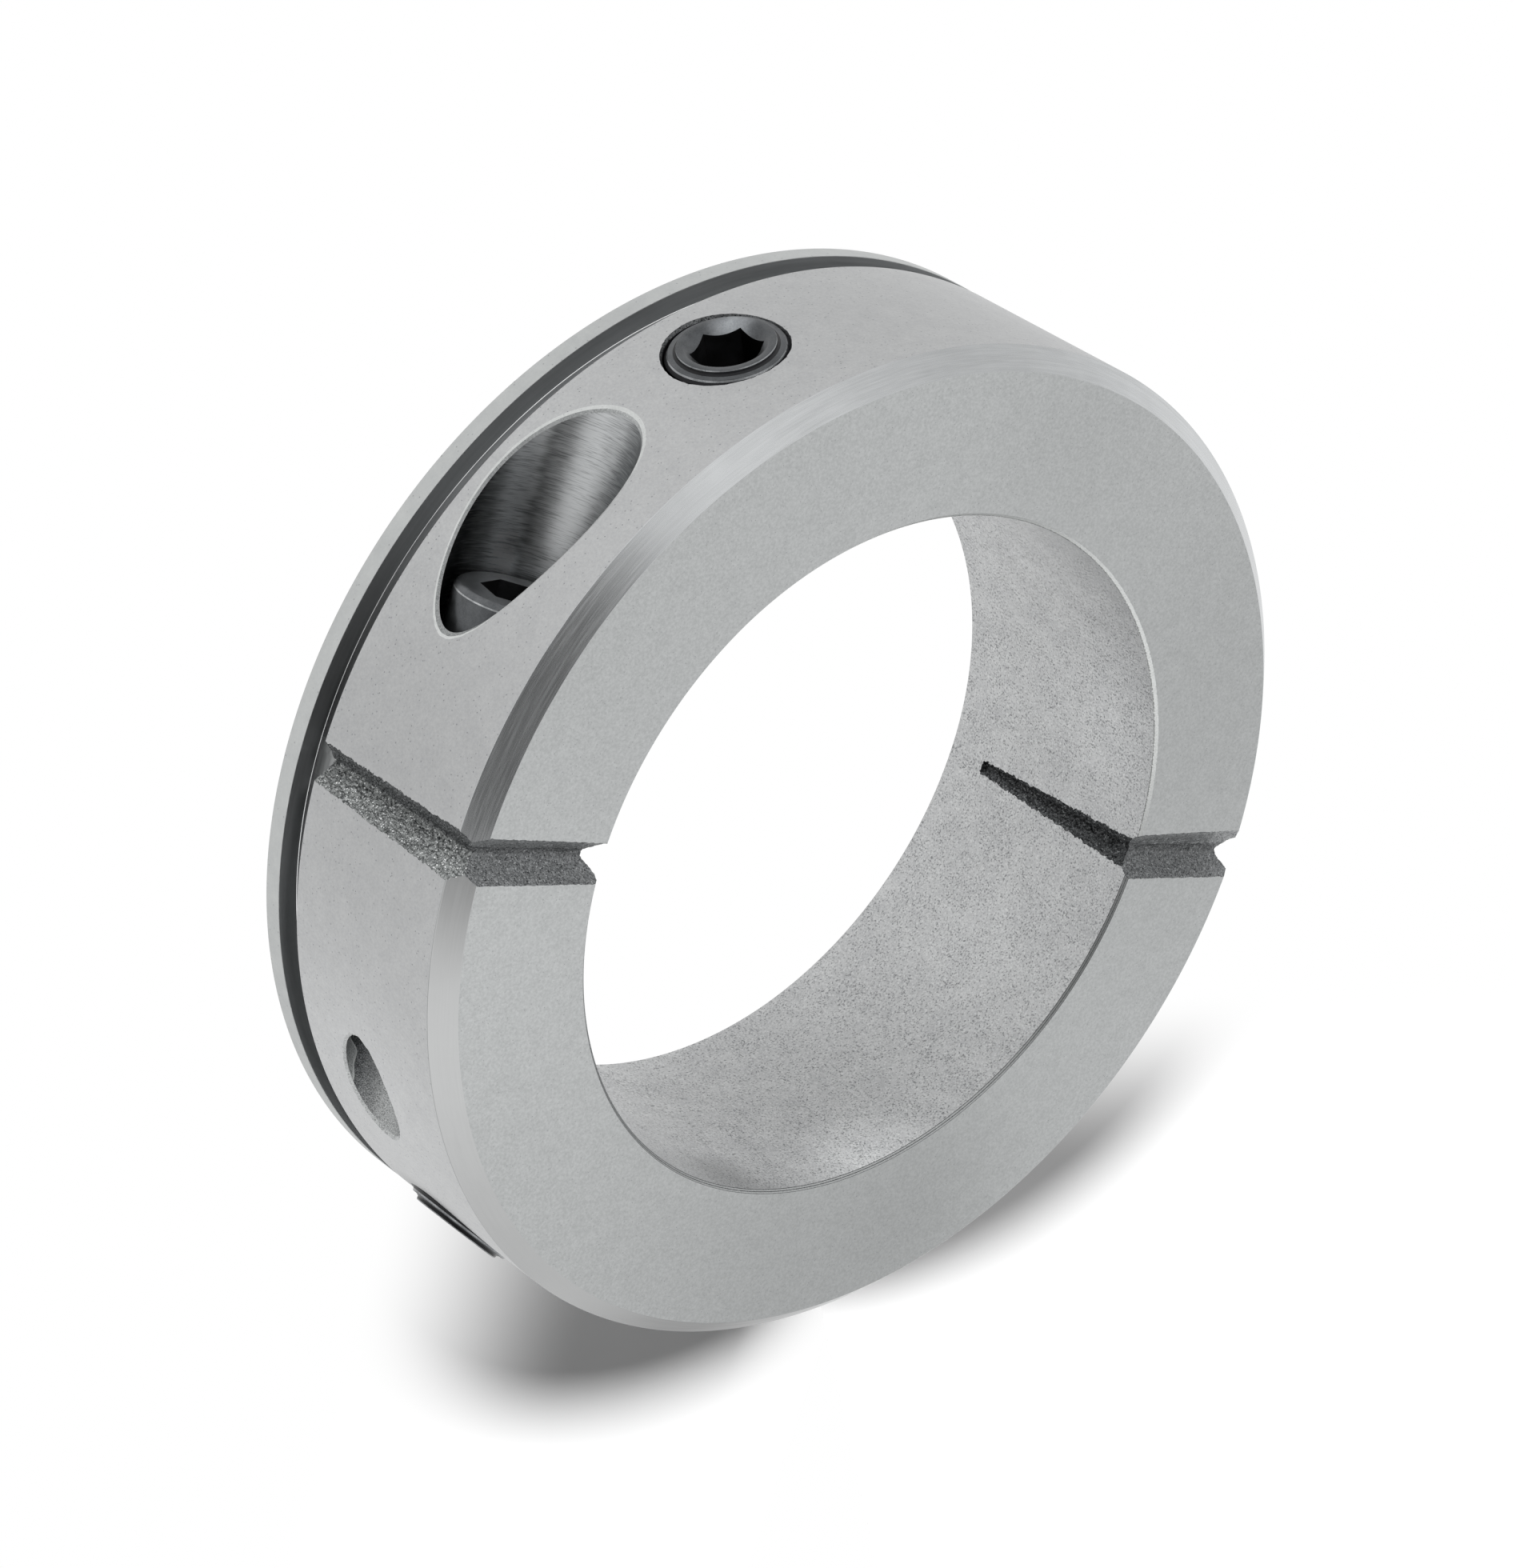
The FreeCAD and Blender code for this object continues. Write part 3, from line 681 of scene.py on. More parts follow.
class Skin(Enum):
    """The finishes of the collar and its screws, with lengths and places in millimetres."""

    # Patches of painted light and shade, with deep painted shade on the outside round the lower set screw.
    OUTSIDE = GroundSteel(
        "outside_ground_steel", "cdcece", "bbbcbd", "85878a", 0.5, 0.085, grain=0.7, relief_mm=0.012, painted_light_spots=(
            PaintedLightSpot((-44.0, 3.0, 12.0), 30.0, -0.16), PaintedLightSpot((-22.0, -38.1, 11.7), 8.2, -0.8),
            PaintedLightSpot((-9.0, 43.0, 14.0), 30.0, -0.11), PaintedLightSpot((-35.0, -26.0, 12.0), 20.0, 0.12)))
    # The face is painted a little darker than the outside, as painted shade, and has patches of painted light and
    # shade.
    FACE = GroundSteel(
        "face_ground_steel", "c1c3c3", "acaeae", "8c8e90", 0.45, 0.065, grain=0.8, relief_mm=0.012, painted_light_spots=(
            PaintedLightSpot((8.0, -40.0, 24.0), 36.0, -0.17), PaintedLightSpot((-40.0, -12.0, 24.0), 30.0, 0.1),
            PaintedLightSpot((36.0, 16.0, 24.0), 40.0, -0.1), PaintedLightSpot((7.0, 37.0, 24.0), 16.0, -0.06),
            PaintedLightSpot((18.0, -32.0, 24.0), 14.0, -0.08)))
    # Patches of painted light and shade in the bore, with a painted glint at its front edge.
    BORE = PittedSteel("bore_blasted_steel", "cfd0d0", "bbbcbd", "6c6e70", "dfe0e0", grain_mm=0.17, painted_light_spots=(
        PaintedLightSpot((12.0, -27.5, 11.0), 22.0, -0.17), PaintedLightSpot((28.3, 10.0, 18.5), 11.0, 0.12),
        PaintedLightSpot((-3.7, -29.8, 21.5), 6.0, -0.28), PaintedLightSpot((10.5, -28.2, 24.0), 9.5, 0.42),
        PaintedLightSpot((27.0, -13.0, 13.0), 10.0, 0.06)))
    FLANGE = GroundSteel("flange_ground_steel", "c9cbca", "bcbebe", "8c8e90", 0.7, 0.09, grain=0.5)
    # The two halves' chamfers carry patches of painted dark reflection.
    CHAMFER_UPPER = TurnedSteel("chamfer_turned_upper", "d2d4d5", "c1c3c4", roughness=0.26, relief_mm=0.004, painted_light_spots=(
        PaintedLightSpot((-6.0, 43.0, 23.2), 29.0, -0.27),))
    CHAMFER_LOWER = TurnedSteel(
        "chamfer_turned_lower", "cdcece", "c6c7c7", roughness=0.34, streak_mm=0.2, relief_mm=0.001, painted_light_spots=(
            PaintedLightSpot((-3.0, -43.0, 23.2), 19.0, -0.62), PaintedLightSpot((-43.1, -2.0, 23.2), 10.0, -0.14),
            PaintedLightSpot((-24.0, -36.0, 23.2), 30.0, -0.24)))
    CHAMFER_LINE = TurnedSteel("chamfer_edge_line", "b0b2b2", "9a9c9c", roughness=0.4)
    # The groove's wall and floor carry painted dark reflection near the left end of the split.
    GROOVE_WALL = TurnedSteel(
        "groove_wall_dark_steel", "8c8e8f", "808283", roughness=0.5, streak_mm=0.3, relief_mm=0.003, metallic=0.87,
        painted_light_spots=(PaintedLightSpot((-43.0, 5.0, 2.1), 20.0, -0.4),))
    GROOVE_FLOOR = TurnedSteel(
        "groove_floor_steel", "b6b8b9", "a6a8a9", roughness=0.45, streak_mm=0.3, relief_mm=0.003, metallic=0.9,
        painted_light_spots=(PaintedLightSpot((-42.0, 5.0, 2.5), 20.0, -0.5),))
    # Painted light: a patch of groove floor on both sides of the split, kept out of the floor's painted dark
    # reflection.
    GROOVE_LIT_PATCH = TurnedSteel("groove_floor_painted_light_steel", "b6b8b8", "a4a6a6", roughness=0.42, streak_mm=0.3)
    # Painted highlight: a thin, nearly white line on the fillet at the bottom of the groove.
    HIGHLIGHT_EDGE = TurnedSteel("edge_painted_highlight_steel", "fafbfb", "eaebec", roughness=0.22, streak_mm=0.3)
    BEVEL_UPPER = LinedSteel(
        "bore_edge_dotted_steel", "e4e6e5", "8e908f", spacing_mm=0.32, first_mm=30.03, width=0.25, broken=0.5)
    BEVEL_LOWER = LinedSteel(
        "bore_edge_lined_steel", "b4b6b6", "3e4041", spacing_mm=0.14, first_mm=30.02, width=0.32, broken=0.1)
    # Fractured and cast finishes carry painted glints, and by default painted shade along the split.
    SPLIT = GranularSteel("fractured_steel", "9a9c9d", "66686a", "d0d2d2", grain_mm=0.25, sparks=0.12)
    # The face notch's two walls are one cast finish in two copies: the upper wall is painted lighter, and both carry
    # painted shade at the right notch.
    NOTCH_FACE = GranularSteel(
        "face_notch_cast_steel", "959798", "5c5e5f", "b6b8b9", grain_mm=0.12, sparks=0.1, specks=0.2,
        painted_light_spots=(PaintedLightSpot((37.0, 0.0, 22.5), 20.0, -0.2),))
    NOTCH_FACE_UPPER = GranularSteel(
        "face_notch_upper_cast_steel", "bbbdbe", "7e8081", "c6c8c8", grain_mm=0.12, sparks=0.06, specks=0.16,
        painted_light_spots=(PaintedLightSpot((37.0, 0.0, 23.2), 20.0, -0.16),))
    # The side notch's two walls are a painted lit copy and a painted shaded copy of one cast finish; the lit wall also
    # has a patch of painted light near the front face.
    NOTCH_LIT = GranularSteel(
        "side_notch_lit_cast_steel", "a4a7a6", "525455", "f0f2f2", grain_mm=0.12, sparks=0.16, specks=0.12,
        roughness=0.4, relief_mm=0.04, painted_light_spots=(PaintedLightSpot((-43.2, -1.0, 23.5), 9.0, 0.25),))
    NOTCH_SHADED = GranularSteel(
        "side_notch_shaded_cast_steel", "7c7e7f", "404243", "a6a8a9", grain_mm=0.11, sparks=0.08, root=0.0)
    NOTCH_BORE = GranularSteel(
        "bore_notch_black_cast_steel", "6e7071", "2a2b2d", "a2a4a5", grain_mm=0.13, sparks=0.14)
    # Painted reflection round the left tapped hole's exit, with a painted light patch on its wall.
    HOLE_LEFT = PaintedLightHoleSteel("tapped_hole_left_broken_steel", (-35.7, 0.0, 12.0), (
        (-110.0, "505253"), (-80.0, "727476"), (-58.0, "8e9091"), (-24.0, "adafaf"), (5.0, "a6a8a8"),
        (40.0, "8c8e8f"), (175.0, "606263")), lens="d2d4d4", edge="e8eae9")
    HOLE_ROUGH = GranularSteel("tapped_hole_rough_steel", "adafaf", "7a7c7d", "c3c5c5", grain_mm=0.13, sparks=0.05)
    LIP = GroundSteel(
        "hole_lip_bright_steel", "dcdedd", "cacccb", "9c9e9e", 0.3, 0.05, grain=0.6, roughness=0.4, relief_mm=0.006)
    LIP_ROUGH = PittedSteel("hole_lip_rough_steel", "c6c8c8", "aeb0b0", "707272", "e0e2e0", grain_mm=0.12)
    # Painted shade: a dark copy of the hole lip, round the lower set screw.
    LIP_SHADED = GroundSteel(
        "hole_lip_shaded_steel", "707273", "545658", "2c2d2e", 0.3, 0.05, grain=0.6, roughness=0.4, relief_mm=0.006)
    # A patch of painted light on the rim at the left recess's inner side.
    RIM = PittedSteel("recess_rim_worn_steel", "a2a4a4", "8c8e8e", "5c5e5e", "b8baba", grain_mm=0.12, pits=0.4, painted_light_spots=(
        PaintedLightSpot((-30.0, 32.0, 12.1), 5.5, 0.4),))
    MOUTH = PittedSteel(
        "set_hole_mouth_worn_steel", "8c8e8f", "626466", "1c1d1e", "a6a8a9", grain_mm=0.16, pits=0.85)
    # Painted reflection that changes with the turn round each recess, and on the left one a patch of painted light
    # towards the rear face.
    RECESS_LEFT = DrilledSteel("recess_left_bored_steel", (-35.6, 0.0, 12.1), (
        (-112.0, "505152"), (-90.0, "9fa1a2"), (-74.0, "dcdedf"), (-62.0, "d6d8d9"), (-53.0, "9a9c9d"),
        (-46.0, "a8aaab"), (-34.0, "bec0c1"), (-20.0, "bec0c1"), (-4.0, "aeb0b1"), (10.0, "969899"),
        (60.0, "86888a"), (175.0, "5c5e60")), scratch="d8dadb", painted_light_spots=(PaintedLightSpot((-32.3, 18.5, 7.1), 5.5, 0.7),))
    RECESS_RIGHT = DrilledSteel("recess_right_bored_steel", (35.6, 0.0, 12.1), (
        (-105.0, "6c6e70"), (-60.0, "a4a6a8"), (-30.0, "b6b8b9"), (60.0, "9a9c9e"), (175.0, "6c6e70")),
        scratch="d8dadb")
    CLAMP = ScrewSteel("clamp_screw_steel", "6e7072", "525456", roughness=0.34)
    CLAMP_SIDE = ScrewSteel("clamp_screw_side_steel", "626466", "4a4c4e", roughness=0.36)
    # Painted highlight on the rim of the cap screws' heads.
    CLAMP_HIGHLIGHT = ScrewSteel("clamp_screw_rim_highlight", "c2c4c5", "7a7c7e")
    # Painted shade inside the key sockets, which are coloured nearly black.
    SOCKET = ScrewSteel("socket_black", "0c0c0d", "050505", roughness=0.4, metallic=0.3)
    # A painted highlight: a bright spot on the dish of the upper set screw.
    OXIDE = ScrewSteel("set_screw_black_oxide", "5c5e60", "444648", painted_light_spots=(
        PaintedLightSpot((-19.6, 39.8, 9.7), 2.4, 2.9),))
    OXIDE_FLAT = ScrewSteel("set_screw_shoulder_oxide", "606264", "484a4c", roughness=0.32)
    # Painted highlight on the set screws' edges.
    OXIDE_HIGHLIGHT = ScrewSteel("set_screw_edge_highlight", "a4a6a8", "66686a", roughness=0.26)
    # The set screws' black oxide, also laid on the set screw hole's wall just inside its mouth as painted shade round
    # the screw.
    OXIDE_DARK_AND_SHADE = ScrewSteel("set_screw_dark_oxide_and_shade", "1d1e20", "101012", roughness=0.4, metallic=0.6)
    THREAD = ScrewSteel("thread_steel", "6c6e70", "4a4c4e", roughness=0.32)

    def ready(self) -> bpy.types.Material:
        """Give the material, built once."""
        return bpy.data.materials.get(self.value.name) or self.value.material()


GROUND_SKINS = (
    Skin.OUTSIDE, Skin.FACE, Skin.BORE, Skin.FLANGE, Skin.CHAMFER_UPPER, Skin.CHAMFER_LOWER, Skin.CHAMFER_LINE,
    Skin.GROOVE_WALL, Skin.GROOVE_FLOOR, Skin.GROOVE_LIT_PATCH, Skin.HIGHLIGHT_EDGE, Skin.BEVEL_UPPER, Skin.BEVEL_LOWER)


class Anchor(Enum):
    """What a row's height is measured from."""

    AXIS = "the tool's own origin"
    OUTSIDE = "where the tool's wall meets the collar's outside"


@dataclass(frozen=True)
class Row:
    """One ring of points of a turned tool or screw."""

    radius: float
    height: float
    anchor: Anchor = Anchor.AXIS
    ragged: float = 0.0
    skin: Skin | None = None
    shift: Point = (0.0, 0.0, 0.0)


@dataclass
class Turned:
    """A round body made by extruding a disc from ring to ring.

    The skin of a row finishes the band that leads up to it. Each wave of a ragged row has a number of
    bumps, a shift for the body's place and a share of the raggedness.
    """

    WAVES = ((11.0, 700.0, 1.0), (37.0, 300.0, 0.6))

    name: str
    rows: Sequence[Row]
    origin: Vector
    direction: Vector
    skin: Skin
    sides: int = 96
    outside_radius: float = 44.0 * MM

    def height_at_outside(self, around: Vector) -> float:
        """Give how far along the axis a point beside it meets the collar's outside."""
        along = self.direction.normalized()
        start = self.origin + around
        a = along.x ** 2 + along.y ** 2
        b = 2.0 * (start.x * along.x + start.y * along.y)
        c = start.x ** 2 + start.y ** 2 - self.outside_radius ** 2
        return (-b + math.sqrt(max(0.0, b * b - 4.0 * a * c))) / (2.0 * a)

    def wobble(self, row: Row, spoke: Vector) -> float:
        """Give how far a ragged row's point stands out."""
        return sum(row.ragged * share * noise.noise(spoke * bumps + self.origin * shift)
                   for bumps, shift, share in self.WAVES)

    def ring(self, row: Row) -> list[Vector]:
        """Give the points of one row."""
        first, second, along = axes_about(self.direction)
        points = []
        for step in range(self.sides):
            turn = 2.0 * math.pi * step / self.sides
            spoke = first * math.cos(turn) + second * math.sin(turn)
            wobble = self.wobble(row, spoke) if row.ragged else 0.0
            around = spoke * (row.radius + wobble) + Vector(row.shift)
            height = row.height
            if row.anchor is Anchor.OUTSIDE:
                height += self.height_at_outside(around)
            points.append(self.origin + around + along * height)
        return points

    def build(self) -> bpy.types.Object:
        """Model the body.

        Returns:
            The closed mesh object, placed in its mesh.
        """
        Bench.clear()
        bpy.ops.mesh.primitive_circle_add(vertices=self.sides, radius=1.0, fill_type="NGON")
        order = list(dict.fromkeys([self.skin] + [row.skin for row in self.rows if row.skin]))
        body = Bench.fresh(self.name, order)
        Bench.edit_all(body)
        for _ in self.rows[1:]:
            Bench.extrude(1.0)
        Bench.done()
        rings = [self.ring(row) for row in self.rows]
        marks = []
        for vert in body.data.vertices:
            step = round(math.atan2(vert.co.y, vert.co.x) / (2.0 * math.pi) * self.sides) % self.sides
            marks.append((round(vert.co.z), step))
        for face in body.data.polygons:
            levels = [marks[index][0] for index in face.vertices]
            top = max(levels)
            if min(levels) != top or top == len(self.rows) - 1:
                face.material_index = order.index(self.rows[top].skin or self.skin)
        for vert, (level, step) in zip(body.data.vertices, marks):
            vert.co = rings[level][step]
        body.data.update()
        Bench.face_out(body)
        return body


@dataclass(frozen=True)
class Thread:
    """A screw thread that is laid on rows of points.

    A turn has a flat crest and a flat root, each a share FLAT of half the pitch, with straight flanks
    between them. The thread runs out over a share RUN_OUT of the pitch.
    """

    FLAT = 0.14
    RUN_OUT = 0.6
    WALL_SLACK = 0.02 * MM

    crest: float
    depth: float
    pitch: float
    start: float
    stop: float

    def rows(self, step_mm: float) -> list[Row]:
        """Give the plain rows that the thread is laid on."""
        count = max(2, round((self.stop - self.start) / (step_mm * MM)))
        return [Row(self.crest, self.start + (self.stop - self.start) * at / count) for at in range(count + 1)]

    def lay(self, body: bpy.types.Object, origin: Vector, direction: Vector) -> None:
        """Move a turned body's wall into a thread.

        Args:
            body: The body, with rows close enough to carry the thread.
            origin: A point on the axis.
            direction: The axis.
        """
        first, second, along = axes_about(direction)
        run_out = self.RUN_OUT * self.pitch
        for vert in body.data.vertices:
            arm = vert.co - origin
            height = arm.dot(along)
            spoke = arm - along * height
            if not self.start <= height <= self.stop or abs(spoke.length - self.crest) > self.WALL_SLACK:
                continue
            turn = math.atan2(spoke.dot(second), spoke.dot(first)) / (2.0 * math.pi)
            share = (height / self.pitch - turn) % 1.0
            rise = (1.0 - abs(2.0 * share - 1.0) - self.FLAT) / (1.0 - 2.0 * self.FLAT)
            flank = min(1.0, max(0.0, rise))
            fade = smooth_step(self.start, self.start + run_out, height)
            fade *= 1.0 - smooth_step(self.stop - run_out, self.stop, height)
            vert.co = origin + along * height + spoke.normalized() * (self.crest - self.depth * flank * fade)
        body.data.update()


def rough_block(name: str, columns: int, rows: int, skins: Iterable[Skin]) -> bpy.types.Object:
    """Model a closed block with one face divided into a fine grid, which is shaped afterwards.

    Args:
        name: The block's name.
        columns: How many cells the grid has along X.
        rows: How many cells it has along Y.
        skins: The block's finishes.

    Returns:
        The block, from -1 to 1 along X and Y, with the grid at height 0 and its top at 1.
    """
    Bench.clear()
    bpy.ops.mesh.primitive_grid_add(x_subdivisions=columns, y_subdivisions=rows, size=2.0)
    block = Bench.fresh(name, skins)
    Bench.edit(block)
    Bench.pick(block, "EDGE", lambda edge: edge.is_boundary)
    Bench.extrude(1.0)
    bpy.ops.mesh.edge_face_add()
    Bench.done()
    return block


@dataclass
class NotchTool:
    """A V-shaped tool with a rough skin that leaves a cast notch.

    start and stop are the ends of the notch's centre line on the metal's surface, inward points
    into the metal, each width is given for the low and the high side of the split, and border is
    where the high side's skin begins, as a share of the half width. GRAINS are the sizes of the
    lumps in the skin and their shares of its roughness.
    """

    GRAINS = ((0.55 * MM, 0.6), (0.2 * MM, 0.8))
    CLEAR_MM = 1.6
    OVERHANG = 1.25

    name: str
    start: Vector
    stop: Vector
    inward: Vector
    widths_start: tuple[float, float]
    widths_stop: tuple[float, float]
    depth_start: float
    depth_stop: float
    root: float
    skin_low: Skin
    skin_high: Skin
    seed: float
    rough: float = 0.08 * MM
    cell: float = 0.12 * MM
    border: float = 0.0

    def profile(self, share: float) -> float:
        """Give the depth at a share of the half width, as a share of the full depth."""
        r = self.root
        return 1.0 - (math.sqrt(share * share + r * r) - r) / (math.sqrt(1.0 + r * r) - r)

    def build(self) -> bpy.types.Object:
        """Model the tool.

        Returns:
            The closed mesh object.
        """
        line = self.stop - self.start
        across = sum(self.widths_start) * self.OVERHANG
        columns = max(6, round(line.length / self.cell))
        rows = max(8, round(math.hypot(across, 2.0 * self.depth_start) / self.cell))
        tool = rough_block(self.name, columns, rows, (self.skin_low, self.skin_high))
        mesh = tool.data
        if self.skin_low is not self.skin_high:
            for face in mesh.polygons:
                face.material_index = 0 if face.center.y < self.border else 1
        up = Vector((0.0, 1.0, 0.0))
        seed = Vector((self.seed, self.seed * 2.0, 7.0))
        for vert in mesh.vertices:
            along = (vert.co.x + 1.0) / 2.0
            side = vert.co.y * self.OVERHANG
            pick = 1 if side > 0.0 else 0
            width = self.widths_start[pick] * (1.0 - along) + self.widths_stop[pick] * along
            depth = self.depth_start * (1.0 - along) + self.depth_stop * along
            on_surface = self.start + line * along + up * (width * side)
            if vert.co.z > 0.5:
                vert.co = on_surface - self.inward * self.CLEAR_MM * MM
                continue
            place = on_surface + self.inward * (depth * self.profile(abs(side)))
            lumps = sum((noise.noise_vector(place / size + seed) * share for size, share in self.GRAINS), Vector())
            vert.co = place + lumps * self.rough
        mesh.update()
        Bench.face_out(tool)
        return tool


@dataclass
class SplitTool:
    """A block whose rough face lies in the split and takes away all beyond it.

    GRAINS are the sizes of the waves in the fracture and their shares of its roughness.
    """

    GRAINS = ((1.9 * MM, 1.0), (0.55 * MM, 0.7))

    keeps_above: bool
    middle: float = 12.0 * MM
    reach: float = 47.0 * MM
    height: float = 26.0 * MM
    beyond: float = 50.0 * MM
    cell: float = 0.3 * MM
    rough: float = 0.05 * MM

    def build(self) -> bpy.types.Object:
        """Model the tool.

        Returns:
            The closed mesh object.
        """
        columns, rows = round(2.0 * self.reach / self.cell), round(self.height / self.cell)
        tool = rough_block("split_tool", columns, rows, [Skin.SPLIT])
        beyond = -self.beyond if self.keeps_above else self.beyond
        for vert in tool.data.vertices:
            flat = Vector((vert.co.x * self.reach, 0.0, self.middle + vert.co.y * self.height / 2.0))
            wave = sum(share * noise.noise(flat / size) for size, share in self.GRAINS)
            vert.co = flat + Vector((0.0, beyond if vert.co.z > 0.5 else wave * self.rough, 0.0))
        tool.data.update()
        Bench.face_out(tool)
        return tool


@dataclass
class RingHalf:
    """One half of the collar: a turned half ring with its split, notches and holes."""

    node: str
    upper: bool
    set_spread: float
    set_lip: Skin
    slot: str = "collar_steel"
    outer: float = 44.0 * MM
    bore: float = 30.0 * MM
    width: float = 24.0 * MM
    rim: float = 2.1 * MM
    groove_front: float = 4.6 * MM
    groove_floor: float = 42.27 * MM
    # The stretch across the split where the groove floor takes its painted light patch.
    groove_lit_patch: tuple[float, float] = (-2.1 * MM, 1.1 * MM)
    chamfer: float = 1.7 * MM
    rear_bevel: float = 0.4 * MM
    bore_bevel: float = 0.3 * MM
    groove_fillet: float = 0.085 * MM
    groove_round: float = 0.1 * MM
    edge_round: float = 0.07 * MM
    notch_past: float = 0.9 * MM
    screw_across: float = 35.6 * MM
    screw_height: float = 12.1 * MM
    seat: float = 11.4 * MM
    recess: float = 5.95 * MM
    shank: float = 3.3 * MM
    tapped: float = 3.05 * MM
    set_height: float = 11.7 * MM
    set_tapped: float = 5.05 * MM
    steps: int = 270
    spare_degrees: float = 2.0

    def section(self) -> bpy.types.Object:
        """Model the half ring's section as one flat face.

        Returns:
            The object, in the plane of the split.
        """
        Bench.clear()
        wall = self.outer - self.bore
        bpy.ops.mesh.primitive_plane_add(
            size=1.0, location=(self.bore + wall / 2.0, 0.0, self.width / 2.0), rotation=(math.pi / 2.0, 0.0, 0.0))
        ring = Bench.fresh(self.node + "_ring")
        ring.scale = (wall, self.width, 1.0)
        Bench.settle(ring)
        Bench.edit(ring)
        planes = [((0, 0, self.rim), (0, 0, 1)), ((0, 0, self.groove_front), (0, 0, 1)),
                  ((self.groove_floor, 0, 0), (1, 0, 0))]
        for place, normal in planes:
            bpy.ops.mesh.select_all(action="SELECT")
            bpy.ops.mesh.bisect(plane_co=place, plane_no=normal)

        def in_groove(face: bmesh.types.BMFace) -> bool:
            """Say whether a face lies where the groove is turned."""
            middle = face.calc_center_median()
            return middle.x > self.groove_floor and self.rim < middle.z < self.groove_front

        Bench.pick(ring, "FACE", in_groove)
        bpy.ops.mesh.delete(type="FACE")
        bpy.ops.mesh.select_all(action="SELECT")
        bpy.ops.mesh.dissolve_faces()
        bpy.ops.mesh.select_all(action="SELECT")
        bpy.ops.mesh.dissolve_limited(angle_limit=0.01)
        bevels = [
            (self.outer, self.width, self.chamfer, 1), (self.outer, 0.0, self.rear_bevel, 1),
            (self.bore, 0.0, self.bore_bevel, 1), (self.bore, self.width, self.bore_bevel, 1),
            (self.groove_floor, self.rim, self.groove_fillet, 3),
            (self.groove_floor, self.groove_front, self.groove_round, 2),
            (self.outer, self.rim, self.edge_round, 2), (self.outer, self.groove_front, self.edge_round, 2),
            (self.outer, self.width - self.chamfer, self.edge_round, 2),
            (self.outer - self.chamfer, self.width, self.edge_round, 2),
        ]
        for across, height, size, segments in bevels:
            corner = Vector((across, 0.0, height))
            Bench.pick(ring, "VERT", lambda vert: (vert.co - corner).length < TINY)
            bpy.ops.mesh.bevel(offset=size, segments=segments, affect="VERTICES", profile=0.5)
        Bench.done()
        return ring

    def skin_of(self, face: bpy.types.MeshPolygon) -> Skin:
        """Choose the finish of one face of the turned ring by its place."""
        middle = face.center
        across = math.hypot(middle.x, middle.y)
        rise = abs(face.normal.z)
        hair = 0.01 * MM
        if across < self.bore + 2.0 * hair:
            return Skin.BORE
        if across < self.bore + self.bore_bevel + hair and rise < 0.95:
            return Skin.BEVEL_UPPER if self.upper else Skin.BEVEL_LOWER
        if middle.z > self.width - self.chamfer - 3.0 * hair and across > self.outer - self.chamfer - 3.0 * hair:
            return Skin.CHAMFER_UPPER if self.upper else Skin.CHAMFER_LOWER
        if self.rim - hair < middle.z < self.groove_front + hair and across < self.outer - 2.0 * hair:
            # The fillet at the bottom of the groove carries a painted highlight.
            if middle.z < self.rim + self.groove_fillet and 0.05 < rise < 0.95:
                return Skin.HIGHLIGHT_EDGE
            if rise > 0.9:
                return Skin.GROOVE_WALL
            # Near the split the groove floor takes the painted light patch.
            low, high = self.groove_lit_patch
            return Skin.GROOVE_LIT_PATCH if low < middle.y < high else Skin.GROOVE_FLOOR
        if middle.z < self.rim + 10.0 * hair and rise < 0.9:
            return Skin.FLANGE
        on_line = abs(middle.z - self.width + self.chamfer) < 5.0 * hair and across > self.outer - 6.0 * hair
        if on_line and not self.upper:
            return Skin.CHAMFER_LINE
        return Skin.FACE if rise > 0.9 else Skin.OUTSIDE

    def turn(self, ring: bpy.types.Object) -> None:
        """Spin the section through half a circle and a little more, and give each band its finish."""
        spare = math.radians(self.spare_degrees)
        ring.rotation_euler = (0.0, 0.0, math.pi + spare if self.upper else spare)
        Bench.settle(ring)
        Bench.edit_all(ring)
        bpy.ops.mesh.spin(steps=self.steps, angle=math.pi + 2.0 * spare, center=(0.0, 0.0, 0.0), axis=(0.0, 0.0, 1.0))
        Bench.done()
        Bench.face_out(ring)
        skins = [self.skin_of(face) for face in ring.data.polygons]
        order = list(dict.fromkeys(skins))
        for skin in order:
            ring.data.materials.append(skin.ready())
        for face, skin in zip(ring.data.polygons, skins):
            face.material_index = order.index(skin)

